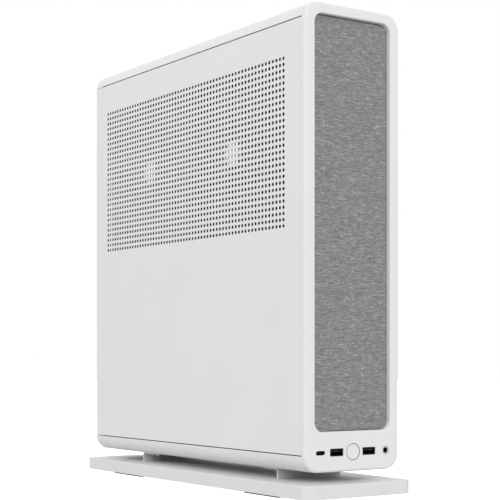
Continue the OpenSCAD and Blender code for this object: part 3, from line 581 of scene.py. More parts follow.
def long_cap(node, flip, rows_of_holes):
    """Bent sheet along the case's top (flip 1) or bottom (flip -1), with the land of its seams; that land
    and the walls of its holes are dark as painted shade.
    """
    low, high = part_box(node)
    flat_z = high.z if flip > 0 else low.z
    half_flat = body_high.x - BODY_R
    seam = panel_high.z + SEAM if flip > 0 else panel_low.z - SEAM
    section, land_start = cap_profile(abs(flat_z - seam))
    if rows_of_holes:
        zone_end = TOP_VENT_Y + rows_of_holes * PITCH
        bands = [(low.y, TOP_VENT_Y, 0), (TOP_VENT_Y, zone_end, rows_of_holes), (zone_end, high.y, 0)]
    else:
        bands = [(low.y, high.y, 0)]
    solid = Solid()

    def at(x, y, depth):
        return (x, y, flat_z - flip * depth)

    perforated(solid, at, -half_flat, half_flat, bands, TOP_VENT_X, TOP_VENT_COLS, SHEET, 0)
    levels = [b[0] for b in bands] + [high.y]
    for sign in (-1, 1):
        rings = [[at(sign * x, y, d) for x, d in section] for y in levels]
        for a, b in zip(rings, rings[1:]):
            for k in range(len(section) - 1):
                # The land seen through the seam is dark: painted shade in the gap.
                solid.mat = 1 if k in (land_start - 1, land_start) else 0
                solid.face([a[k], a[k + 1], b[k + 1], b[k]])
    solid.mat = 0
    for y in (low.y, high.y):
        solid.face([at(x, y, d) for x, d in section] + [at(-x, y, d) for x, d in section[::-1]])
    closer_gap = 0.35 * MM
    for sign in (-1, 1):
        x = sorted((sign * body_high.x, sign * (body_high.x - SHEET)))
        z = sorted((seam + flip * 0.2 * MM, seam - flip * closer_gap))
        solid.box((x[0], high.y - 11.8 * MM, z[0]), (x[1], high.y, z[1]))
    return stand_for(solid.build(node + "_sheet", [MATS["white_steel"], MATS["seal"]], 30), node)


# ---- Front ----

FACE_Y = bezel_low.y
PORT_Z = body_low.z + 15.7 * MM
USB_A_XS = (-16.5 * MM, 16.5 * MM)
USB_C_X = -32.8 * MM
JACK_X = 33.9 * MM


def front_bezel():
    """Moulded bezel: rounded outer edge, fabric window and the five holes of the port row."""
    solid = Solid()
    low, high = (bezel_low.x, bezel_low.z), (bezel_high.x, bezel_high.z)
    soft, lip, fine = 2.3 * MM, 0.7 * MM, 0.25 * MM
    window = ((-38.5 * MM, high[1] - 341.5 * MM), (38.5 * MM, high[1] - 8.5 * MM), 8 * MM)

    def slit(x, w, h, r):
        return ((x - w / 2, PORT_Z - h / 2), (x + w / 2, PORT_Z + h / 2), r)

    holes = [(window, lip, 12)]
    holes += [(slit(x, 13.6 * MM, 6.2 * MM, 0.6 * MM), fine, 6) for x in USB_A_XS]
    holes += [(slit(USB_C_X, 9.2 * MM, 3.5 * MM, 1.74 * MM), fine, 8),
              (slit(JACK_X, 7.2 * MM, 7.2 * MM, 3.59 * MM), fine, 12),
              (slit(0, 13.6 * MM, 13.6 * MM, 6.79 * MM), fine, 24)]

    def loop(rect, by, y, steps=12):
        return [(x, y, z) for x, z in inset_rect(rect[0], rect[1], rect[2], by, steps)]

    body = (low, high, BODY_R)
    outer = [loop(body, i, FACE_Y + d, 16) for i, d in rounding(soft, 8)] + [loop(body, 0, BEZEL_BACK, 16)]
    solid.loft(outer)
    mouths, backs = [], []
    for rect, r, steps in holes:
        rings = [loop(rect, -i, FACE_Y + d, steps) for i, d in rounding(r, 4)]
        rings.append(loop(rect, 0, BEZEL_BACK, steps))
        solid.loft(rings)
        mouths.append(rings[0])
        backs.append(rings[-1])
    fill(solid, [outer[0]] + mouths)
    fill(solid, [outer[-1]] + backs)
    return stand_for(solid.build("front_bezel_moulding", [MATS["white_plastic"]], 35), "front_bezel")


def tube_loops(solid, x, outline_of, depths):
    """Lofts outline_of(inset) at each (inset, y) round x on the port row."""
    rings = [[(x + a, y, PORT_Z + b) for a, b in outline_of(i)] for i, y in depths]
    solid.loft(rings)
    return rings


def port_outline(w, h, r, steps=8):
    """Outline of a port's shell as a function of its inset."""
    return lambda i: rounded_rect((-w / 2 + i, -h / 2 + i), (w / 2 - i, h / 2 - i), max(r - i, 0.0001),
                                  steps)


def usb_a_ports():
    """Blackened shell, plastic tongue in its upper half with four contacts, and spring fingers below."""
    solid = Solid()
    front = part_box("usb_a_ports")[0].y
    back = front + 18.2 * MM
    wall = 0.3 * MM
    for x in USB_A_XS:
        solid.mat = 0
        shape = port_outline(13.1 * MM, 5.7 * MM, 0.5 * MM)
        rings = tube_loops(solid, x, shape, [(0, back), (0, front + 0.1 * MM), (0.1 * MM, front),
                                             (wall, front + 0.12 * MM), (wall, back - 3 * MM)])
        solid.face(rings[0])
        solid.mat = 1
        solid.face(rings[-1])
        tongue_low = (x - 5.55 * MM, front + 0.8 * MM, PORT_Z + 0.2 * MM)
        solid.box(tongue_low, (x + 5.55 * MM, back - 3 * MM, PORT_Z + 2.04 * MM), 0.25 * MM)
        solid.mat = 2
        for k in (-3.5, -1.25, 1.25, 3.5):
            solid.box((x + (k - 0.5) * MM, front + 1.8 * MM, PORT_Z + 0.08 * MM),
                      (x + (k + 0.5) * MM, front + 11 * MM, PORT_Z + 0.22 * MM), 0.03 * MM)
        solid.mat = 3
        for k in (-3, 3):
            a, b = x + (k - 1) * MM, x + (k + 1) * MM
            heights = ((1.2, -2.55), (2.4, -1.7), (3.2, -1.55), (6.5, -2.55))
            for (d0, z0), (d1, z1) in zip(heights, heights[1:]):
                top = [(a, front + d0 * MM, PORT_Z + z0 * MM), (b, front + d0 * MM, PORT_Z + z0 * MM),
                       (b, front + d1 * MM, PORT_Z + z1 * MM), (a, front + d1 * MM, PORT_Z + z1 * MM)]
                under = [(p[0], p[1], p[2] - 0.2 * MM) for p in top]
                solid.face(top)
                solid.face(under[::-1])
                for m in range(4):
                    solid.face([top[m], under[m], under[(m + 1) % 4], top[(m + 1) % 4]])
    mats = [MATS["dark_metal"], MATS["black_plastic"], MATS["gold"], MATS["nickel"]]
    return stand_for(solid.build("usb_a_sockets", mats, 35), "usb_a_ports")


def usb_c_port():
    """Oval shell round a flat tongue with contacts on both of its faces, on a small mounting block."""
    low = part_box("usb_c_port")[0]
    solid = Solid()
    front, back, x = low.y, low.y + 10.2 * MM, USB_C_X
    shape = port_outline(8.94 * MM, 3.16 * MM, 1.57 * MM, 10)
    rings = tube_loops(solid, x, shape, [(0, back), (0, front + 0.1 * MM), (0.08 * MM, front),
                                         (0.3 * MM, front + 0.12 * MM), (0.3 * MM, back - 2.5 * MM)])
    solid.face(rings[0])
    solid.mat = 1
    solid.face(rings[-1])
    solid.box((x - 3.35 * MM, front + 1.6 * MM, PORT_Z - 0.35 * MM),
              (x + 3.35 * MM, back - 2.4 * MM, PORT_Z + 0.35 * MM), 0.12 * MM)
    solid.box((x - 4.2 * MM, back - 0.4 * MM, low.z),
              (x + 4.2 * MM, back + 0.4 * MM, PORT_Z - 1.58 * MM), 0.05 * MM)
    solid.mat = 2
    for k in range(-5, 6):
        for side in (-1, 1):
            z = sorted((PORT_Z + side * 0.33 * MM, PORT_Z + side * 0.4 * MM))
            solid.box((x + (k * 0.55 - 0.14) * MM, front + 2.2 * MM, z[0]),
                      (x + (k * 0.55 + 0.14) * MM, front + 6 * MM, z[1]))
    mats = [MATS["dark_metal"], MATS["black_plastic"], MATS["gold"]]
    return stand_for(solid.build("usb_c_socket", mats, 35), "usb_c_port")


def turned(solid, x, profile, steps=64):
    """Round part on the port row, from (radius, y) pairs."""
    rings = [[(x + r * math.cos(2 * math.pi * k / steps), y, PORT_Z + r * math.sin(2 * math.pi * k / steps))
              for k in range(steps)] for r, y in profile]
    solid.loft(rings)
    return rings


def audio_jack():
    """Pale collar round a black bore with its spring contacts, in front of a black block."""
    low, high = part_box("audio_jack")
    solid = Solid()
    x, front = JACK_X, low.y
    rings = turned(solid, x, [(3.5 * MM, front + 9.6 * MM), (3.5 * MM, front + 0.25 * MM),
                              (3.42 * MM, front + 0.06 * MM), (3.2 * MM, front), (2.5 * MM, front),
                              (2.3 * MM, front + 0.12 * MM)])
    solid.face(rings[0])
    solid.mat = 1
    bore = turned(solid, x, [(2.3 * MM, front + 0.12 * MM), (2.1 * MM, front + 0.6 * MM),
                             (1.8 * MM, front + 0.9 * MM), (1.8 * MM, front + 9 * MM)])
    solid.face(bore[-1])
    solid.box((x - 4 * MM, low.y + 9.2 * MM, low.z), (x + 4 * MM, high.y, PORT_Z + 3.6 * MM), 0.3 * MM)
    solid.mat = 2
    for k in range(3):
        solid.box((x + (1.72 if k != 1 else -1.9) * MM, front + (3.5 + 2 * k) * MM, PORT_Z - 0.4 * MM),
                  (x + (1.9 if k != 1 else -1.72) * MM, front + (4.6 + 2 * k) * MM, PORT_Z + 0.4 * MM),
                  0.05 * MM)
    mats = [MATS["grey_moulding"], MATS["black_plastic"], MATS["nickel"]]
    return stand_for(solid.build("audio_socket", mats, 30), "audio_jack")


def power_button():
    """Slightly dished key with a fine rounded rim, its guide flange and its stem."""
    low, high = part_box("power_button")
    solid = Solid()
    front, r = low.y, 6.4 * MM
    dish = [(0.0005 * MM + r * 0.9 * k / 8, front + 0.12 * MM * (1 - (k / 8) ** 2)) for k in range(9)]
    rim = [(r - i, front + d) for i, d in rounding(0.3 * MM, 4)]
    flange = [(r, BEZEL_BACK + 0.4 * MM), (r + 1 * MM, BEZEL_BACK + 0.4 * MM),
              (r + 1 * MM, BEZEL_BACK + 1.6 * MM), (2 * MM, BEZEL_BACK + 1.6 * MM),
              (2 * MM, high.y - 0.2 * MM), (1.8 * MM, high.y)]
    rings = turned(solid, 0, dish + rim, 96)
    solid.face(rings[0])
    # The key's side, flange and stem are dark: painted shade in the gap round the key.
    solid.mat = 1
    last = turned(solid, 0, [rim[-1]] + flange, 96)
    solid.face(last[-1])
    key = solid.build("power_key", [MATS["white_plastic"], MATS["painted_shade_lining"]], 30)
    return stand_for(key, "power_button")


def button_ring():
    """Dark ring that lines the gap round the power key: painted shade in the gap."""
    solid = Solid()
    outer, inner, front, back = 6.79 * MM, 6.47 * MM, FACE_Y + 0.15 * MM, FACE_Y + 4 * MM
    turned(solid, 0, [(outer, back), (outer, front), (inner, front), (inner, back), (outer, back)], 96)
    return ride_with(solid.build("button_gap_painted_shade", [MATS["seal"]], 30), "front_bezel")


def fabric():
    """Cloth stretched over the insert: every thread of a plain weave stands out of the sheet."""
    low, high = fabric_low, fabric_high
    thread, across = 0.9 * MM, 0.3 * MM
    corner, relief, turn = 7.6 * MM, 0.11 * MM, 0.45 * MM
    half_w, half_h = (high.x - low.x) / 2, (high.z - low.z) / 2
    mid_z = (low.z + high.z) / 2
    nx, nz = int(2 * half_w / across), int(2 * half_h / across)
    z = np.linspace(-half_h, half_h, nz + 1)
    over = np.clip(np.abs(z) - (half_h - corner), 0, None)
    width = half_w - corner + np.sqrt(np.maximum(corner ** 2 - over ** 2, 0))
    u = np.linspace(-1, 1, nx + 1)
    x = width[:, None] * u[None, :]
    zz = np.repeat(z[:, None], nx + 1, axis=1)
    i, j = np.floor(x / thread), np.floor(zz / thread)
    du, dv = x / thread - i - 0.5, zz / thread - j - 0.5
    warp_up = ((i + j) % 2) == 0
    crown = np.where(warp_up, np.cos(math.pi * du) * (0.55 + 0.45 * np.cos(math.pi * dv)),
                     np.cos(math.pi * dv) * (0.55 + 0.45 * np.cos(math.pi * du)))
    distance = np.minimum(width[:, None] - np.abs(x), (half_h - np.abs(zz)))
    fall = np.clip(1 - distance / turn, 0, 1)
    wrap = 1 - np.sqrt(1 - 0.98 * fall ** 2)
    y = low.y + relief - relief * crown * (1 - fall) + (high.y - low.y - relief) * wrap
    points = np.stack([x, y, zz + mid_z], axis=2).reshape(-1, 3)
    a = (np.arange(nz)[:, None] * (nx + 1) + np.arange(nx)[None, :]).reshape(-1)
    faces = np.stack([a, a + 1, a + nx + 2, a + nx + 1], axis=1)
    mesh = bpy.data.meshes.new("front_cloth")
    mesh.from_pydata(points.tolist(), [], faces.tolist())
    mesh.materials.append(MATS["grey_fabric"])
    mesh.shade_smooth()
    cloth = stand_for(linked(bpy.data.objects.new("front_cloth", mesh)), "front_fabric")
    return cloth


# ---- Stand ----

RIB_YS = (-155, -75, -25, 25, 72, 150)


def foot_strips():
    """Footprint of each rubber strip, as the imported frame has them: (x low, x high, y low, y high)."""
    islands = {}
    for box in solids_of("rubber_feet"):
        islands[(round(box[0].x, 4), round(box[0].y, 4))] = (box[0].x, box[1].x, box[0].y, box[1].y)
    return [islands[k] for k in sorted(islands)]


def base_plate():
    """Moulded plate, hollow from below, with cross ribs and a block above each foot strip."""
    solid = Solid()
    low, high = (plate_low.x, plate_low.y), (plate_high.x, plate_high.y)
    r, soft, wall, skin = 9 * MM, 0.6 * MM, 2.5 * MM, 2.5 * MM

    def ring(inset, z):
        return [(x, y, z) for x, y in inset_rect(low, high, r, inset, 14)]

    under = plate_high.z - skin
    rings = [ring(wall, under), ring(wall, plate_low.z + 0.3 * MM), ring(wall - 0.3 * MM, plate_low.z)]
    rings += [ring(i, plate_low.z + d) for i, d in rounding(soft, 4)]
    rings += [ring(i, plate_high.z - d) for i, d in rounding(soft, 6)[::-1]]
    solid.capped(rings)
    inner = plate_high.x - wall
    bite = 0.2 * MM
    for y in RIB_YS:
        solid.box((-inner - bite, (y - 0.8) * MM, plate_low.z + 1 * MM),
                  (inner + bite, (y + 0.8) * MM, under + bite), 0.2 * MM)
    for x0, x1, y0, y1 in foot_strips():
        solid.box((max(x0 - 2.5 * MM, -inner - bite), y0 - 3 * MM, plate_low.z + 0.2 * MM),
                  (min(x1 + 2.5 * MM, inner + bite), y1 + 3 * MM, under + bite), 0.3 * MM)
    return stand_for(solid.build("base_plate_moulding", [MATS["base_moulding_painted_shade"]], 35), "base_plate")


def rubber_feet():
    solid = Solid()
    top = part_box("rubber_feet")[1].z
    for x0, x1, y0, y1 in foot_strips():
        low, high, r = (x0, y0), (x1, y1), 1.2 * MM
        rings = [[(x, y, d) for x, y in inset_rect(low, high, r, i, 6)] for i, d in rounding(0.25 * MM, 3)]
        rings.append([(x, y, top) for x, y in inset_rect(low, high, r, 0, 6)])
        solid.capped(rings)
    return stand_for(solid.build("rubber_strips", [MATS["rubber"]], 35), "rubber_feet")


def stand_bracket(node, inward):
    """Bent sheet: a flange under the body, a round bend, the leg, and a flange under the plate's skin."""
    low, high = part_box(node)
    t, bend = 1.6 * MM, 2.4 * MM
    leg = low.y if inward > 0 else high.y
    reach = high.y - low.y

    def path(offset):
        """Points (distance from the leg's outer face, z), offset inwards from the sheet's outer side."""
        r = bend - offset
        top = arc(bend, high.z - bend, r, 180, 90, 8)
        foot = arc(bend, low.z + bend, r, 270, 180, 8)
        return [(reach, low.z + offset)] + foot + top + [(reach, high.z - offset)]

    outline = path(0) + path(t)[::-1]
    c = 0.25 * MM
    chamfered = path(c) + path(t - c)[::-1]
    solid = Solid()
    loops = []
    for x, pts in ((low.x, chamfered), (low.x + c, outline), (high.x - c, outline), (high.x, chamfered)):
        loops.append([(x, leg + inward * d, z) for d, z in pts])
    solid.loft(loops)
    n = len(outline) // 2
    for end in (loops[0], loops[-1]):
        for k in range(n - 1):
            solid.face([end[k], end[k + 1], end[-k - 2], end[-k - 1]])
    return stand_for(solid.build(node + "_sheet", [MATS["white_steel"]], 35), node)


side_panel("left_panel", panel_low.x, 1, [(VENT_Z, 28)])
side_panel("right_panel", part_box("right_panel")[1].x, -1, [(VENT_Z, 18), (LOW_VENT_Z, 10)])
long_cap("top_shell", 1, 49)
long_cap("bottom_shell", -1, 0)
front_bezel()
usb_a_ports()
usb_c_port()
audio_jack()
power_button()
button_ring()
fabric()
base_plate()
rubber_feet()
stand_bracket("stand_bracket_front", 1)
stand_bracket("stand_bracket_rear", -1)


# ---- Fans ----

def lathe_x(solid, x_profile, y0, z0, steps=48):
    """Round part on an axle along X, from (x, radius) pairs."""
    rings = [[(x, y0 + r * math.cos(2 * math.pi * k / steps), z0 + r * math.sin(2 * math.pi * k / steps))
              for k in range(steps)] for x, r in x_profile]
    solid.loft(rings)
    return rings


def blade_section(radius, share, depth, turn, sweep, span, thick):
    """Closed outline of a blade at one radius, as (x, angle) pairs round its thin curved section."""
    chord = depth * (0.96 - 0.18 * share)
    points = []
    for side, order in ((1, range(9)), (-1, range(8, -1, -1))):
        for k in order:
            u = k / 8
            body = thick * (0.25 + 0.75 * math.sin(math.pi * (0.08 + 0.84 * u)))
            camber = 0.1 * depth * math.sin(math.pi * u)
            x = chord * (0.5 - u) + camber + side * body / 2
            points.append((x, turn + sweep * share + span * (u - 0.5)))
    return points


def rotor(node, hub_r, tip_r, blades, label_side, hand):
    """Fan wheel: rounded hub, swept and twisted blades, and a blank label on the side that is seen."""
    low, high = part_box(node)
    mid_x, y0, z0 = (low.x + high.x) / 2, (low.y + high.y) / 2, (low.z + high.z) / 2
    depth = high.x - low.x
    solid = Solid()
    edge = 1.2 * MM
    hub = [(low.x, 0.0002 * MM + hub_r - edge)] + [(low.x + d, hub_r - i) for i, d in rounding(edge, 4)]
    hub += [(high.x - d, hub_r - i) for i, d in rounding(edge, 4)[::-1]]
    rings = lathe_x(solid, hub, y0, z0)
    solid.face(rings[0])
    solid.face(rings[-1])
    inner = hub_r - 0.6 * MM
    steps = 8
    for b in range(blades):
        turn = 2 * math.pi * b / blades
        sections = []
        for k in range(steps + 1):
            share = k / steps
            radius = inner + (tip_r - inner) * share
            span = hand * (0.95 * 2 * math.pi / blades) * (0.82 + 0.1 * share)
            outline = blade_section(radius, share, depth - 1.8 * MM, turn, hand * -0.32, span, 1.3 * MM)
            sections.append([(mid_x + x, y0 + radius * math.cos(a), z0 + radius * math.sin(a))
                             for x, a in outline])
        solid.loft(sections)
        for end in (sections[0], sections[-1]):
            n = len(end) // 2
            for k in range(n - 1):
                solid.face([end[k], end[k + 1], end[-k - 2], end[-k - 1]])
    # The label glows: painted light.
    solid.mat = 1
    face_x = low.x if label_side < 0 else high.x
    lift = label_side * 0.05 * MM
    label = lathe_x(solid, [(face_x, 0.5 * hub_r), (face_x + lift, 0.48 * hub_r)], y0, z0)
    solid.face(label[-1])
    return stand_for(solid.build(node + "_wheel", [MATS["dark_plastic"], MATS["label"]], 35), node)


# Per rotor: hub and tip radius in mm, blades, side of the label along X, hand of the blades.
WHEELS = {
    "case_fan_rotor_front": (21, 65, 9, -1, 1), "case_fan_rotor_rear": (21, 65, 9, -1, 1),
    "cooler_fan_rotor": (18, 42, 7, 1, -1), "gpu_rotor_front": (16, 41, 9, 1, -1),
    "gpu_rotor_rear": (16, 41, 9, 1, 1), "psu_fan_rotor": (17, 42, 9, 1, -1),
}
for wheel, (hub_mm, tip_mm, count, seen_from, hand) in WHEELS.items():
    rotor(wheel, hub_mm * MM, tip_mm * MM, count, seen_from, hand)


# ---- Screws ----

def screw(solid, low, high, points):
    """Pan-head screw with a hex socket in the place of one plain CAD screw."""
    size = high - low
    axis = max(range(3), key=lambda i: size[i])
    center = (low + high) / 2
    others = [i for i in range(3) if i != axis]

    def spread(level):
        near = [p - center for p in points if abs(p[axis] - level) < 1e-5]
        return max((math.hypot(p[others[0]], p[others[1]]) for p in near), default=0)

    head_low = spread(low[axis]) > spread(high[axis])
    start, way = (low[axis], 1) if head_low else (high[axis], -1)
    length = size[axis]

    def ring(depth, r, steps=24):
        out = []
        for k in range(steps):
            a = 2 * math.pi * k / steps
            p = [0, 0, 0]
            p[axis] = start + way * depth
            p[others[0]] = center[others[0]] + r * math.cos(a)
            p[others[1]] = center[others[1]] + r * math.sin(a)
            out.append(tuple(p))
        return out

    def hexagon(depth, r):
        full = ring(depth, r)
        sides = [(full[k], full[(k + 4) % 24]) for k in range(0, 24, 4)]
        return [tuple(a[i] + (b[i] - a[i]) * k / 4 for i in range(3)) for a, b in sides for k in range(4)]

    head = [(0.0, 1.7), (0.12, 2.15), (0.45, 2.6), (0.95, 2.75), (1.9, 2.75), (2.0, 2.65), (2.0, 1.45)]
    floor = hexagon(1.1 * MM, 1.15 * MM)
    socket = [floor, hexagon(0.0, 1.2 * MM)]
    rings = socket + [ring(d * MM, r * MM) for d, r in head]
    thread, depth = [], 2.3
    while depth < length / MM - 0.8:
        thread += [(depth, 1.3), (depth + 0.25, 1.45)]
        depth += 0.5
    rings += [ring(d * MM, r * MM) for d, r in thread]
    rings += [ring(length - 0.5 * MM, 1.35 * MM), ring(length, 1.0 * MM)]
    solid.capped(rings)


def screws():
    """The stand's screws are nickel plated; the others are black."""
    plated, black = Solid(), Solid()
    for low, high, points in solids_of("m3_screws"):
        screw(plated if high.z < body_low.z + 12 * MM and low.z < body_low.z else black, low, high, points)
    stand = plated.build("stand_screws", [MATS["nickel"]], 40)
    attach(stand, "chassis")
    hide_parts("m3_screws")
    case = black.build("case_screws", [MATS["dark_screw"]], 40)
    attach(case, "chassis")
    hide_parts("m3_screws")


screws()


# ---- Inner pieces: the CAD shapes with their edges broken ----

def softened(node, edge_mm):
    """Copy of a node's mesh with its sharp edges bevelled, which replaces the node."""
    mesh = NODES[node].data.copy()
    bm = bmesh.new()
    bm.from_mesh(mesh)
    bmesh.ops.remove_doubles(bm, verts=bm.verts, dist=2e-6)
    bmesh.ops.dissolve_limit(bm, angle_limit=math.radians(1.5), verts=bm.verts, edges=bm.edges)
    bmesh.ops.recalc_face_normals(bm, faces=bm.faces)
    bm.to_mesh(mesh)
    bm.free()
    piece = linked(bpy.data.objects.new(node + "_finished", mesh))
    mesh.shade_smooth()
    mesh.set_sharp_from_angle(angle=math.radians(40))
    bevel = piece.modifiers.new("edges", "BEVEL")
    bevel.width = edge_mm * MM
    bevel.segments = 2
    bevel.limit_method = "ANGLE"
    bevel.angle_limit = math.radians(40)
    bevel.use_clamp_overlap = True
    normals = piece.modifiers.new("normals", "WEIGHTED_NORMAL")
    normals.keep_sharp = True
    return stand_for(piece, node)


# Bevel width in mm of each node that is kept as a softened copy.
SOFTENED = {
    "rear_frame": 0.2, "front_frame": 0.15, "chamber_divider": 0.15, "board_tray": 0.15, "fan_bracket": 0.15,
    "fabric_frame": 0.25, "panel_sockets": 0.2, "left_panel_studs": 0.15, "right_panel_studs": 0.15,
    "io_board": 0.08, "motherboard": 0.08, "cpu_socket": 0.15, "cpu": 0.2, "cooler_heatsink": 0.1,
    "cooler_fan_frame": 0.5, "memory_slots": 0.12, "memory_modules": 0.08, "memory_latch_a": 0.2,
    "memory_latch_b": 0.2, "board_pcie_slot": 0.2, "rear_io_ports": 0.15, "io_shield": 0.08,
    "board_headers": 0.2, "riser_card": 0.08, "riser_slot": 0.2, "gpu_board": 0.08, "gpu_heatsink": 0.1,
    "gpu_shroud": 0.6, "gpu_backplate": 0.2, "gpu_bracket": 0.15, "psu_case": 0.25, "psu_fan_grille": 0.25,
    "mains_inlet": 0.3, "case_fan_frames": 0.6, "ssd_drive": 0.4, "board_standoffs": 0.1,
}
for soft_node, soft_edge in SOFTENED.items():
    softened(soft_node, soft_edge)


# ---- Leads ----

def spline(route, spacing=1.5 * MM):
    """Smooth path through the route's points."""
    points = [Vector(p) * MM for p in route]
    ends = [points[0] * 2 - points[1]] + points + [points[-1] * 2 - points[-2]]
    out = []
    for a, b, c, d in zip(ends, ends[1:], ends[2:], ends[3:]):
        n = max(2, int((c - b).length / spacing))
        for k in range(n):
            t = k / n
            out.append(0.5 * (2 * b + (c - a) * t + (2 * a - 5 * b + 4 * c - d) * t * t
                              + (3 * b - a - 3 * c + d) * t ** 3))
    out.append(points[-1])
    return out


def strands(solid, route, offsets, radius, sides=10):
    """Round leads that run side by side along one path, each at its own offset across it."""
    path = spline(route)
    across = None
    frames = []
    for i, p in enumerate(path):
        way = (path[min(i + 1, len(path) - 1)] - path[max(i - 1, 0)]).normalized()
        if across is None:
            across = way.cross(Vector((0, 1, 0)) if abs(way.x) > 0.8 else Vector((1, 0, 0))).normalized()
        across = (across - way * across.dot(way)).normalized()
        frames.append((p, across.copy(), way.cross(across)))
    for du, dv in offsets:
        rings = []
        for p, u, v in frames:
            c = p + u * du + v * dv
            rings.append([tuple(c + u * radius * math.cos(2 * math.pi * k / sides)
                                + v * radius * math.sin(2 * math.pi * k / sides)) for k in range(sides)])
        solid.capped(rings)


# Routes of the leads in mm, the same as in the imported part.
AC_ROUTE = [(4, -156, 128), (4, -156, 112), (5, -156, 92), (6, -156, 72), (8, -154.5, 57), (12, -149, 47.5),
            (17, -134, 44.5), (24, -112, 42), (31, -88, 36), (35.5, -60, 31.5), (37, -30, 29.5),
            (37.5, 0, 29), (37.5, 30, 29), (37.5, 60, 29), (37, 90, 29), (36, 112, 31), (33, 130, 38),
            (29.5, 142, 49), (28, 148, 57), (28, 152, 60), (28, 155.9, 60)]
BOARD_ROUTE = [(-15, 38.5, 150), (-6, 38.5, 150), (2, 37, 150), (8, 31, 149), (11, 20, 147), (12, 6, 144),
               (12, -10, 141), (12, -24, 139), (12, -36, 138)]
CARD_ROUTE = [(-10, -36, 162), (-10, -28, 162), (-12.5, -21, 165), (-15.5, -18, 174), (-17, -18, 186),
              (-17, -20, 200), (-17, -25, 220), (-17, -30, 245), (-17, -34, 270), (-17, -37, 292),
              (-16, -39, 308), (-11, -39, 319), (-3, -39, 323), (3, -39, 320), (4, -39, 314)]
IO_ROUTE = [(-20, -140, 36), (-20, -130, 35), (-22, -112, 32.5), (-25, -88, 30), (-28, -60, 29),
            (-30, -30, 29), (-31, 0, 29), (-31, 12, 30), (-31, 19, 31.5), (-31, 25, 32), (-31, 30, 32)]


def plugs_of(node, solid):
    """The blocks on the ends of a node's leads, with their edges cut."""
    for low, high, points in solids_of(node):
        if len(points) <= 8:
            solid.box(low, high, 0.5 * MM)


def leads():
    """The three inner leads: mains, power to the board and to the card, and the front ports' lead."""
    mains = Solid()
    strands(mains, AC_ROUTE, [(0, 0)], 3.15 * MM, 20)
    plugs_of("ac_lead", mains)
    stand_for(mains.build("inner_mains_lead", [MATS["lead_sheath"]], 40), "ac_lead")
    power = Solid()
    board = [((k - 5.5) * 1.95 * MM, s * 1.1 * MM) for k in range(12) for s in (-1, 1)]
    card = [((k - 1.5) * 3.1 * MM, s * 1.4 * MM) for k in range(4) for s in (-1, 1)]
    strands(power, BOARD_ROUTE, board, 0.95 * MM)
    strands(power, CARD_ROUTE, card, 1.25 * MM)
    power.mat = 1
    plugs_of("power_cables", power)
    mats = [MATS["lead_sheath"], MATS["black_plastic"]]
    stand_for(power.build("inner_power_leads", mats, 40), "power_cables")
    ports = Solid()
    strands(ports, IO_ROUTE, [(0, 0)], 1.95 * MM, 16)
    stand_for(ports.build("inner_port_lead", [MATS["lead_sheath"]], 40), "io_cable")


leads()


# ---- Camera, floor and light ----

CAMERA_PLACE = (-0.6693, -1.0213, 0.1136)
CAMERA_HEADING = math.radians(-33.97)
FOCAL_LENGTH, SENSOR_WIDTH, RISE = 95.85, 36.0, 0.2128
BODY_CENTER = (0, 0, 0.25)
# Light of the surroundings by height, from straight below (0) over the horizon (0.5) to straight above (1).
SKY_BELOW, SKY_ABOVE = 0.62, 0.4
SKY_LEVELS = ((0.42, 0.6), (0.5, 0.03), (0.57, 0.06), (0.64, 1.55), (0.77, 1.05))


def camera():
    """Level camera by the case's lower third; its shift frames the object and keeps uprights upright."""
    data = bpy.data.cameras.new("camera")
    data.sensor_width = SENSOR_WIDTH
    data.lens = FOCAL_LENGTH
    data.shift_y = RISE
    data.clip_start = 0.05
    piece = linked(bpy.data.objects.new("camera", data))
    piece.location = CAMERA_PLACE
    piece.rotation_euler = (math.radians(90), 0, CAMERA_HEADING)
    bpy.context.scene.camera = piece


def area_light(name, place, size, power):
    """Round soft light that points at the middle of the body."""
    data = bpy.data.lights.new(name, "AREA")
    data.shape = "DISK"
    data.size = size
    data.energy = power
    lamp = linked(bpy.data.objects.new(name, data))
    lamp.location = place
    lamp.rotation_euler = (Vector(BODY_CENTER) - Vector(place)).to_track_quat("-Z", "Y").to_euler()


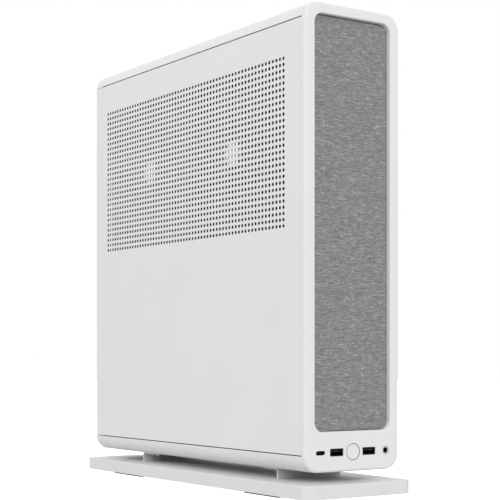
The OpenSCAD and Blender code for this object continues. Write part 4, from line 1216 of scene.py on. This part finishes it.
def backdrop():
    """White paper dome that only the camera sees, so that the light stays soft and comes from above."""
    bpy.ops.mesh.primitive_uv_sphere_add(segments=48, ring_count=24, radius=5.5, location=(0, 0, 0))
    dome = bpy.context.object
    dome.name = "backdrop"
    s = Shader("backdrop_paper", (0, 0, 0), 1.0, Specular_IOR_Level=0.0)
    s.set("Emission Color", (1, 1, 1, 1))
    s.set("Emission Strength", 1.0)
    dome.data.materials.append(s.mat)
    for ray in ("diffuse", "glossy", "transmission", "volume_scatter", "shadow"):
        setattr(dome, "visible_" + ray, False)


def studio():
    """White surroundings that are dark at the horizon, a white floor, a soft key light and a weak fill."""
    world = bpy.data.worlds.new("studio")
    world.use_nodes = True
    tree = world.node_tree
    tree.nodes["Background"].inputs["Color"].default_value = (1, 1, 1, 1)
    where = tree.nodes.new("ShaderNodeTexCoord")
    split = tree.nodes.new("ShaderNodeSeparateXYZ")
    level = tree.nodes.new("ShaderNodeFloatCurve")
    height = tree.nodes.new("ShaderNodeMapRange")
    height.inputs["From Min"].default_value = -1
    curve = level.mapping.curves[0]
    curve.points[0].location = (0.0, SKY_BELOW)
    curve.points[1].location = (1.0, SKY_ABOVE)
    for at, strength in SKY_LEVELS:
        curve.points.new(at, strength)
    level.mapping.use_clip = False
    level.mapping.update()
    tree.links.new(where.outputs["Generated"], split.inputs["Vector"])
    tree.links.new(split.outputs["Z"], height.inputs["Value"])
    tree.links.new(height.outputs["Result"], level.inputs["Value"])
    tree.links.new(level.outputs["Value"], tree.nodes["Background"].inputs["Strength"])
    bpy.context.scene.world = world
    bpy.ops.mesh.primitive_plane_add(size=12, location=(0, 0, -0.0002))
    floor = bpy.context.object
    floor.name = "floor"
    s = Shader("floor_paper", (0.85, 0.85, 0.85), 0.9, Specular_IOR_Level=0.0)
    s.set("Emission Color", (1, 1, 1, 1))
    s.set("Emission Strength", 0.9)
    floor.data.materials.append(s.mat)
    floor.visible_diffuse = False
    floor.visible_glossy = False
    backdrop()
    area_light("key", (-2.0, -3.9, 2.1), 2.8, 80)
    area_light("rear_fill", (-3.0, 2.4, 1.1), 2.4, 18)


camera()
studio()
bpy.context.scene.view_settings.view_transform = "Standard"
bpy.context.scene.view_settings.look = "None"
